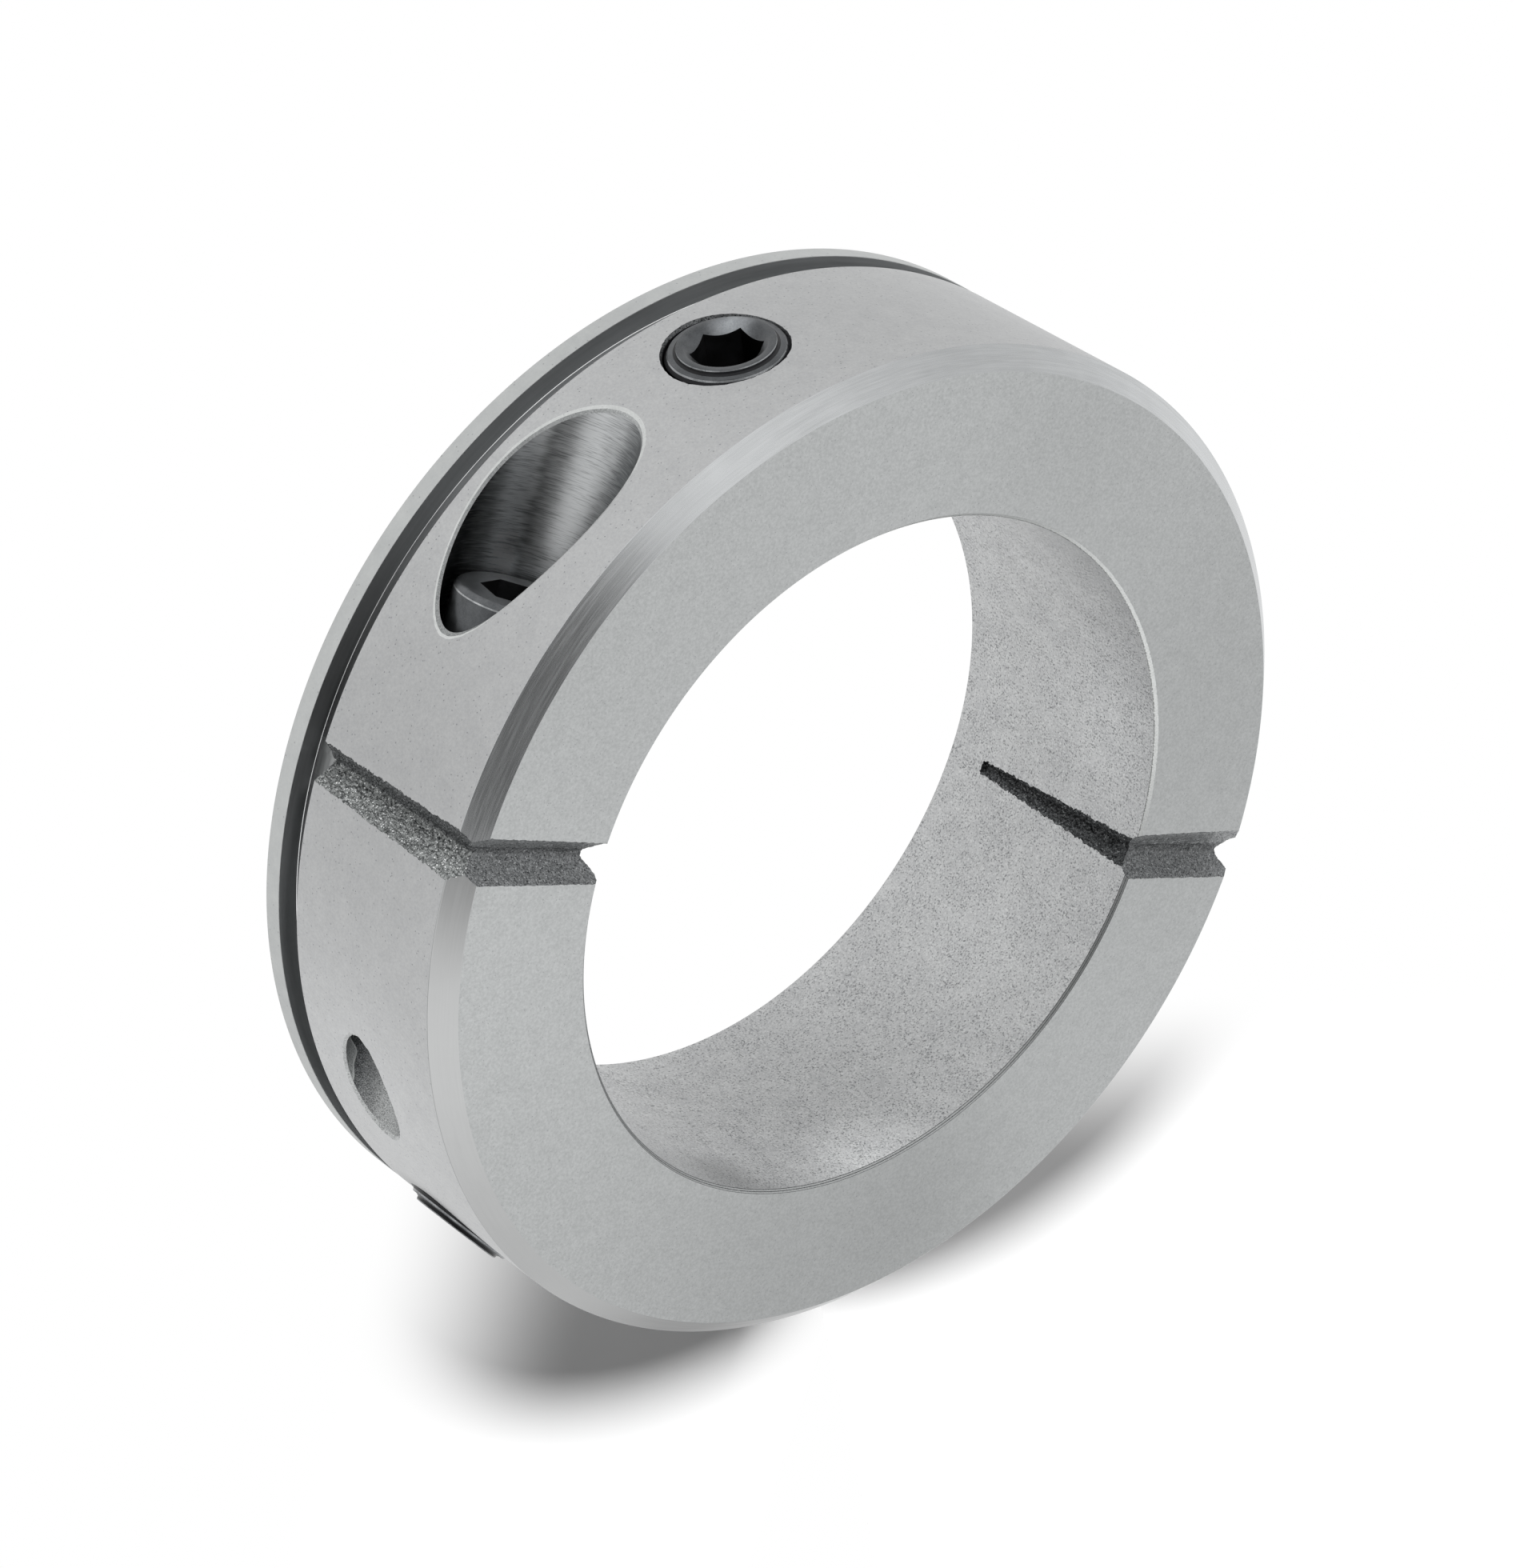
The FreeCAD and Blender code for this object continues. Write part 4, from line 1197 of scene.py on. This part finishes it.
    def notch_tools(self) -> list[NotchTool]:
        """Lay out the rough tools for the notches at both ends of the split."""
        tools = []
        past = self.width + self.notch_past
        for side, name in ((-1.0, "left"), (1.0, "right")):
            tools += [
                # The face notch: its high wall takes the copy painted lighter.
                NotchTool(
                    "face_notch_" + name, Vector((side * 28.6 * MM, 0, self.width)),
                    Vector((side * 45.6 * MM, 0, self.width)), Vector((0, 0, -1)),
                    widths_start=(1.9 * MM, 1.55 * MM if side < 0.0 else 2.1 * MM),
                    widths_stop=(2.0 * MM, 2.1 * MM) if side < 0.0 else (1.75 * MM, 2.75 * MM),
                    depth_start=1.8 * MM, depth_stop=1.85 * MM, root=0.5,
                    skin_low=Skin.NOTCH_FACE, skin_high=Skin.NOTCH_FACE_UPPER, seed=3.0 + side, border=0.22),
                # The side notch: its low wall painted lit, its high wall painted shaded.
                NotchTool(
                    "side_notch_" + name, Vector((side * self.outer, 0, past)),
                    Vector((side * self.outer, 0, 3.5 * MM)), Vector((-side, 0, 0)),
                    widths_start=(2.3 * MM, 2.0 * MM), widths_stop=(1.75 * MM, 1.6 * MM),
                    depth_start=2.0 * MM, depth_stop=1.5 * MM, root=0.22, skin_low=Skin.NOTCH_LIT,
                    skin_high=Skin.NOTCH_SHADED, seed=11.0 + side, rough=0.15 * MM, cell=0.1 * MM),
                NotchTool(
                    "bore_notch_" + name, Vector((side * self.bore, 0, past)),
                    Vector((side * self.bore, 0, 4.3 * MM)), Vector((side, 0, 0)),
                    widths_start=(1.28 * MM, 1.5 * MM), widths_stop=(0.72 * MM, 0.5 * MM),
                    depth_start=1.2 * MM, depth_stop=0.5 * MM, root=0.2, skin_low=Skin.NOTCH_BORE,
                    skin_high=Skin.NOTCH_BORE, seed=23.0 + side, rough=0.15 * MM, cell=0.1 * MM),
            ]
        return tools

    def recess_tool(self, side: float) -> bpy.types.Object:
        """Model the tool for a clamp screw's shank hole, head seat and recess with its bright lip."""
        aside = (0.0, 0.0, -0.13 * MM)
        worn = (side * 0.04 * MM, 0.0, -0.13 * MM)
        rows = [
            Row(self.shank, -2.0 * MM), Row(self.shank, self.seat), Row(self.recess, self.seat),
            Row(self.recess, -0.32 * MM, Anchor.OUTSIDE),
            Row(self.recess + 0.15 * MM, -0.14 * MM, Anchor.OUTSIDE, ragged=0.015 * MM, skin=Skin.RIM, shift=worn),
            Row(self.recess + 0.31 * MM, 0.0, Anchor.OUTSIDE, ragged=0.025 * MM, skin=Skin.LIP, shift=aside),
            Row(self.recess + 0.7 * MM, 0.5 * MM, Anchor.OUTSIDE, skin=Skin.LIP, shift=aside),
            Row(self.recess + 0.7 * MM, 40.0 * MM, skin=Skin.LIP, shift=aside),
        ]
        origin = Vector((side * self.screw_across, 0.0, self.screw_height))
        skin = Skin.RECESS_LEFT if side < 0.0 else Skin.RECESS_RIGHT
        return Turned("recess_tool", rows, origin, Vector((0.0, 1.0, 0.0)), skin, sides=160).build()

    def thread_tool(self, side: float) -> bpy.types.Object:
        """Model the tool for a clamp screw's tapped hole and its rough exit."""
        thread = Thread(self.tapped, depth=-0.3 * MM, pitch=1.0 * MM, start=1.0 * MM, stop=17.0 * MM)
        wall = Skin.HOLE_LEFT if side < 0.0 else Skin.HOLE_ROUGH
        worn = (side * 0.06 * MM, 0.0, -0.1 * MM)
        rows = [
            Row(self.tapped, -2.0 * MM), *thread.rows(0.12),
            Row(self.tapped, -0.3 * MM, Anchor.OUTSIDE, ragged=0.05 * MM, skin=wall),
            Row(self.tapped + 0.16 * MM, 0.0, Anchor.OUTSIDE, ragged=0.08 * MM, skin=Skin.LIP_ROUGH, shift=worn),
            Row(self.tapped + 0.6 * MM, 0.5 * MM, Anchor.OUTSIDE, skin=Skin.LIP_ROUGH),
            Row(self.tapped + 0.6 * MM, 40.0 * MM, skin=Skin.LIP_ROUGH),
        ]
        origin = Vector((side * (self.screw_across + 0.1 * MM), 0.0, self.screw_height))
        direction = Vector((0.0, -1.0, 0.0))
        tool = Turned("thread_tool", rows, origin, direction, Skin.THREAD).build()
        thread.lay(tool, origin, direction)
        return tool

    def set_screw_tool(self) -> bpy.types.Object:
        """Model the tool for the radial tapped hole."""
        bearing = math.radians(180.0 - self.set_spread)
        direction = Vector((math.cos(bearing), math.copysign(math.sin(bearing), 1.0 if self.upper else -1.0), 0.0))
        origin = Vector((0.0, 0.0, self.set_height))
        thread = Thread(self.set_tapped, depth=-0.42 * MM, pitch=1.5 * MM, start=31.0 * MM, stop=42.6 * MM)
        worn = tuple(Vector((-direction.y, direction.x, 0.2)) * 0.13 * MM)
        lip = {"skin": self.set_lip, "shift": worn}
        rows = [
            Row(self.set_tapped, 24.0 * MM), *thread.rows(0.17),
            # Painted shade: a dark band on the hole's wall just inside its mouth.
            Row(self.set_tapped + 0.01 * MM, -0.3 * MM, Anchor.OUTSIDE, 0.02 * MM, Skin.OXIDE_DARK_AND_SHADE, worn),
            Row(self.set_tapped + 0.16 * MM, 0.0, Anchor.OUTSIDE, ragged=0.06 * MM, **lip),
            Row(self.set_tapped + 0.7 * MM, 0.5 * MM, Anchor.OUTSIDE, **lip),
            Row(self.set_tapped + 0.7 * MM, 50.0 * MM, **lip),
        ]
        tool = Turned("set_screw_tool", rows, origin, direction, Skin.THREAD, sides=144).build()
        thread.lay(tool, origin, direction)
        return tool

    def build(self) -> bpy.types.Object:
        """Model the half and dress it.

        Returns:
            The finished piece.
        """
        ring = self.section()
        self.turn(ring)
        Bench.cut(ring, SplitTool(self.upper).build())
        for tool in self.notch_tools():
            Bench.cut(ring, tool.build())
        for side in (-1.0, 1.0):
            Bench.cut(ring, self.recess_tool(side) if self.upper else self.thread_tool(side))
        Bench.cut(ring, self.set_screw_tool())
        Bench.smooth(ring)
        Bench.part(ring, GROUND_SKINS)
        return ring


@dataclass
class HexSocket:
    """A hexagonal key socket with a cone at its bottom."""

    across_flats: float
    depth: float
    clear: float = 2.0 * MM
    ledge: float = 0.35 * MM
    cone_share: float = 0.55
    cone_depth: float = 0.5 * MM

    def tool(self, face: Vector, inward: Vector, turn: float) -> bpy.types.Object:
        """Model the tool that leaves the socket.

        Args:
            face: The middle of the face that the socket opens in.
            inward: The direction into the screw.
            turn: The hexagon's turn about the axis, in degrees.

        Returns:
            The closed mesh object.
        """
        corner = self.across_flats / 2.0 / math.cos(math.radians(30.0))
        Bench.clear()
        bpy.ops.mesh.primitive_circle_add(
            vertices=6, radius=corner, fill_type="NGON", location=(0.0, 0.0, -self.clear),
            rotation=(0.0, 0.0, math.radians(turn)))
        tool = Bench.fresh("socket_tool", [Skin.SOCKET])
        Bench.settle(tool)
        Bench.edit_all(tool)
        Bench.extrude(self.depth + self.clear)
        bpy.ops.mesh.inset(thickness=self.ledge, depth=0.0)
        bpy.ops.mesh.inset(thickness=corner * self.cone_share, depth=self.cone_depth)
        Bench.done()
        turned = inward.to_track_quat("Z", "Y").to_matrix().to_4x4()
        tool.data.transform(Matrix.Translation(face) @ turned)
        Bench.face_out(tool)
        return tool


@dataclass
class ClampScrew:
    """A socket head cap screw seated in the upper half."""

    node: str
    side: float
    slot: str = "screw_steel"
    across: float = 35.7 * MM
    height: float = 12.0 * MM
    seat: float = 11.4 * MM
    length: float = 25.0 * MM
    radius: float = 3.0 * MM
    head_radius: float = 4.89 * MM
    head_height: float = 6.0 * MM
    socket: HexSocket = field(default_factory=lambda: HexSocket(5.05 * MM, 3.0 * MM))
    socket_turn: float = 12.0

    def build(self) -> bpy.types.Object:
        """Model the screw and dress it.

        Returns:
            The finished piece.
        """
        origin = Vector((self.side * self.across, self.seat, self.height))
        along = Vector((0.0, 1.0, 0.0))
        thread = Thread(
            self.radius, depth=0.55 * MM, pitch=1.0 * MM, start=-self.length + 0.5 * MM, stop=-7.0 * MM)
        head, top = self.head_radius, self.head_height
        rows = [
            Row(self.radius - 0.5 * MM, -self.length), *thread.rows(0.12),
            Row(self.radius, -0.3 * MM), Row(self.radius + 0.25 * MM, 0.0), Row(head - 0.1 * MM, 0.0),
            Row(head, 0.12 * MM, skin=Skin.CLAMP_SIDE), Row(head, top - 0.58 * MM, skin=Skin.CLAMP_SIDE),
            # Painted highlight on the head's top edge.
            Row(head - 0.03 * MM, top - 0.46 * MM, skin=Skin.CLAMP_HIGHLIGHT),
            Row(head - 0.18 * MM, top - 0.2 * MM), Row(head - 0.38 * MM, top - 0.05 * MM), Row(head - 0.6 * MM, top),
        ]
        screw = Turned(self.node + "_steel", rows, origin, along, Skin.CLAMP).build()
        thread.lay(screw, origin, along)
        Bench.cut(screw, self.socket.tool(origin + along * top, -along, self.socket_turn))
        Bench.smooth(screw)
        return screw


@dataclass
class SetScrew:
    """A flat point socket set screw in its radial hole."""

    node: str
    bearing: float
    standout: float
    slot: str = "black_oxide"
    outer: float = 44.0 * MM
    height: float = 11.7 * MM
    length: float = 12.0 * MM
    radius: float = 5.0 * MM
    point: float = 3.0 * MM
    ring_radius: float = 4.05 * MM
    ring_height: float = 0.4 * MM
    dish: float = 3.4 * MM
    dish_degrees: float = 42.0
    dish_middle: float = 0.3 * MM
    socket: HexSocket = field(default_factory=lambda: HexSocket(5.15 * MM, 6.0 * MM))

    def build(self) -> bpy.types.Object:
        """Model the screw and dress it.

        Returns:
            The finished piece.
        """
        turn = math.radians(self.bearing)
        along = Vector((math.cos(turn), math.sin(turn), 0.0))
        origin = Vector((0.0, 0.0, self.height)) + along * (self.outer + self.standout)
        shoulder, ring = -self.ring_height, self.ring_radius
        thread = Thread(
            self.radius, depth=0.75 * MM, pitch=1.5 * MM, start=-self.length + 2.0 * MM, stop=shoulder - 0.45 * MM)
        bottom = -(self.dish - self.dish_middle) * math.tan(math.radians(self.dish_degrees))
        rows = [
            Row(self.point - 0.15 * MM, -self.length), Row(self.point, -self.length + 0.1 * MM), *thread.rows(0.17),
            Row(self.radius - 0.22 * MM, shoulder - 0.2 * MM),
            # Painted highlight on the shoulder's edge.
            Row(self.radius - 0.3 * MM, shoulder - 0.06 * MM, skin=Skin.OXIDE_HIGHLIGHT),
            Row(self.radius - 0.36 * MM, shoulder, skin=Skin.OXIDE_FLAT),
            Row(ring + 0.2 * MM, shoulder + 0.02 * MM, skin=Skin.OXIDE_FLAT),
            Row(ring, shoulder + 0.14 * MM), Row(ring - 0.03 * MM, -0.09 * MM),
            # Painted highlight on the ring's edge.
            Row(ring - 0.08 * MM, -0.01 * MM, skin=Skin.OXIDE_HIGHLIGHT), Row(ring - 0.16 * MM, 0.0, skin=Skin.OXIDE),
            Row(self.dish + 0.06 * MM, 0.0, skin=Skin.OXIDE),
            Row(self.dish - 0.05 * MM, -0.04 * MM, skin=Skin.OXIDE),
            Row(self.dish_middle, bottom, skin=Skin.OXIDE),
        ]
        screw = Turned(self.node + "_steel", rows, origin, along, Skin.OXIDE_DARK_AND_SHADE, sides=120).build()
        thread.lay(screw, origin, along)
        Bench.cut(screw, self.socket.tool(origin, -along, 0.0))
        Bench.smooth(screw)
        return screw


@dataclass(frozen=True)
class Fade:
    """Where the floor goes over from its shadow to plain white, along X (0) or Y (1) in millimetres."""

    direction: int
    start: float
    stop: float
    most: float = 1.0
    soft: bool = True


class FloorSide(Enum):
    """The floor's two pieces: the left one keeps the shadow below the collar, the right one that beside it."""

    LEFT = (Fade(0, -20.0, 8.0), Fade(0, 38.0, 27.0, soft=False))
    RIGHT = (Fade(1, -25.0, -43.0, most=0.86),)


@dataclass
class Studio:
    """The floor, the light and the camera of the photograph."""

    camera_place: Point = (-0.31418, 0.13401, 0.31446)
    camera_right: Point = (0.72883, 0.28073, 0.62449)
    camera_up: Point = (-0.00466, 0.9141, -0.40547)
    focal_pixels: float = 6907.0
    long_side_pixels: float = 1960.0
    sensor: float = 36.0
    key_from: Point = (-0.11, 0.225, 0.24)
    key_strength: float = 5.05
    key_degrees: float = 13.0
    side_from: Point = (-0.40, 0.12, 0.24)
    side_strength: float = 7.05
    side_degrees: float = 7.0
    sky_strength: float = 0.18
    dark_side: Point = (-0.66, 0.06, 0.74)
    dark_level: float = 0.175
    dark_edge_degrees: float = 38.0
    dark_core_degrees: float = 20.0
    floor_size: float = 6.0
    floor_height: float = -0.05 * MM
    floor_tone: float = 0.88
    floor_mirrored: float = 0.97
    seam_degrees: float = 303.0
    under_bore: float = 31.0 * MM

    def matt_white(self, side: FloorSide) -> bpy.types.Material:
        """Build the finish of one side of the floor.

        Args:
            side: Which side it is, with its fades.

        Returns:
            A material that is matt for the light, and shown white where the fades say so.
        """
        board = NodeBoard("pale_floor_" + side.name.lower())
        place = board.place()
        parts = board.parts(place)
        distance = board.parts(board.around(place, (0.0, 0.0, 0.0), About.BORE, 1.0))[1]
        cleared = board.math("GREATER_THAN", distance, self.under_bore)
        for fade in side.value:
            share = board.ramp(parts[fade.direction], fade.start * MM, fade.stop * MM, stop=fade.most, soft=fade.soft)
            cleared = board.math("MULTIPLY", cleared, share)
        path = board.add("LightPath").outputs
        seen = board.math("MULTIPLY", path["Is Camera Ray"], board.math("SUBTRACT", 1.0, cleared))
        matt = board.add("BsdfDiffuse", {"Color": grey(self.floor_tone)})
        white = board.add("Emission", {"Color": grey(1.0), "Strength": 1.0})
        shown = board.add("MixShader", {0: seen, 1: matt.outputs[0], 2: white.outputs[0]})
        mirrored = board.add("Emission", {"Color": grey(1.0), "Strength": self.floor_mirrored})
        board.close(board.add("MixShader", {0: path["Is Glossy Ray"], 1: shown.outputs[0], 2: mirrored.outputs[0]}))
        return board.material

    def floor(self, side: FloorSide) -> bpy.types.Object:
        """Lay one side of the plain pale floor."""
        Bench.clear()
        bpy.ops.mesh.primitive_plane_add(size=self.floor_size, location=(0.0, 0.0, self.floor_height))
        floor = Bench.fresh("floor_" + side.name.lower())
        Bench.settle(floor)
        Bench.edit_all(floor)
        turn = math.radians(self.seam_degrees)
        right = side is FloorSide.RIGHT
        bpy.ops.mesh.bisect(plane_co=(0.0, 0.0, 0.0), plane_no=(-math.sin(turn), math.cos(turn), 0.0),
                            clear_inner=right, clear_outer=not right)
        Bench.done()
        floor.data.materials.append(self.matt_white(side))
        return floor

    def sky(self) -> None:
        """Light the scene evenly, show white behind the object and keep one side of the studio dark."""
        world = bpy.data.worlds.new("studio")
        bpy.context.scene.world = world
        board = NodeBoard("studio", world)
        path = board.add("LightPath").outputs
        white_for = board.math("MAXIMUM", path["Is Camera Ray"], path["Is Transmission Ray"])
        way = board.add("VectorMath", {0: board.add("TexCoord").outputs["Generated"]}, operation="NORMALIZE")
        dark = tuple(Vector(self.dark_side).normalized())
        likeness = board.add("VectorMath", {0: way.outputs[0], 1: dark}, operation="DOT_PRODUCT").outputs["Value"]
        edge, core = (math.cos(math.radians(at)) for at in (self.dark_edge_degrees, self.dark_core_degrees))
        levels = (self.sky_strength, board.ramp(likeness, edge, core, 1.0, self.dark_level), 1.0)
        fill, mirrored, white = (
            board.add("Background", {"Color": grey(1.0), "Strength": level}).outputs[0] for level in levels)
        glossy = board.add("MixShader", {0: path["Is Glossy Ray"], 1: fill, 2: mirrored})
        board.close(board.add("MixShader", {0: white_for, 1: glossy.outputs[0], 2: white}))

    def lamp(self, name: str, towards: Point, strength: float, degrees: float) -> bpy.types.Object:
        """Hang one soft lamp, which throws a shadow and leaves no glare on the metal."""
        data = bpy.data.lights.new(name, "SUN")
        data.energy = strength
        data.angle = math.radians(degrees)
        lamp = bpy.data.objects.new(name, data)
        bpy.context.collection.objects.link(lamp)
        lamp.visible_glossy = False
        lamp.rotation_mode = "QUATERNION"
        lamp.rotation_quaternion = Vector(towards).to_track_quat("Z", "Y")
        return lamp

    def lamps(self, right_floor: bpy.types.Object) -> None:
        """Hang the key lamp over everything but the right floor, and a lower lamp over the right floor."""
        key = self.lamp("soft_key", self.key_from, self.key_strength, self.key_degrees)
        side = self.lamp("soft_side", self.side_from, self.side_strength, self.side_degrees)
        for lamp, state in ((key, "EXCLUDE"), (side, "INCLUDE")):
            lit = bpy.data.collections.new(lamp.name + "_floor")
            lit.objects.link(right_floor)
            lit.collection_objects[0].light_linking.link_state = state
            lamp.light_linking.receiver_collection = lit

    def camera(self) -> None:
        """Set the camera to the photograph's place and field of view."""
        data = bpy.data.cameras.new("photo_view")
        data.sensor_width = self.sensor
        data.lens = self.focal_pixels / self.long_side_pixels * self.sensor
        data.clip_start, data.clip_end = 0.01, 20.0
        camera = bpy.data.objects.new("photo_view", data)
        bpy.context.collection.objects.link(camera)
        right = Vector(self.camera_right).normalized()
        up = Vector(self.camera_up)
        up = (up - right * up.dot(right)).normalized()
        turn = Matrix((right, up, right.cross(up))).transposed()
        camera.matrix_world = Matrix.Translation(Vector(self.camera_place)) @ turn.to_4x4()
        bpy.context.scene.camera = camera

    def build(self) -> None:
        """Set the whole scene up."""
        self.camera()
        self.floor(FloorSide.LEFT)
        self.sky()
        self.lamps(self.floor(FloorSide.RIGHT))
        bpy.context.scene.view_settings.view_transform = "Standard"


def hand_over(piece: bpy.types.Object, node: str) -> None:
    """Let a piece ride on its body in place of a node, and report it.

    Args:
        piece: The finished piece.
        node: The node, and the body of the same name.
    """
    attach(piece, node)
    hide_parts(node)
    LOG.info("%s: %d faces, %d finishes", piece.name, len(piece.data.polygons), len(piece.data.materials))


def main() -> None:
    """Build the collar and its screws in order."""
    logging.basicConfig(level=logging.INFO, format="%(message)s")
    noise.seed_set(NOISE_SEED)
    Studio().build()
    assemblies = (
        RingHalf("upper_half", upper=True, set_spread=61.0, set_lip=Skin.MOUTH),
        # The lower set screw's hole lip is in painted shade.
        RingHalf("lower_half", upper=False, set_spread=60.0, set_lip=Skin.LIP_SHADED),
        ClampScrew("clamp_screw_left", side=-1.0),
        ClampScrew("clamp_screw_right", side=1.0),
        SetScrew("set_screw_upper", bearing=119.0, standout=0.3 * MM),
        SetScrew("set_screw_lower", bearing=240.0, standout=0.6 * MM),
    )
    for assembly in assemblies:
        hand_over(assembly.build(), assembly.node)


if __name__ == "__main__":
    main()
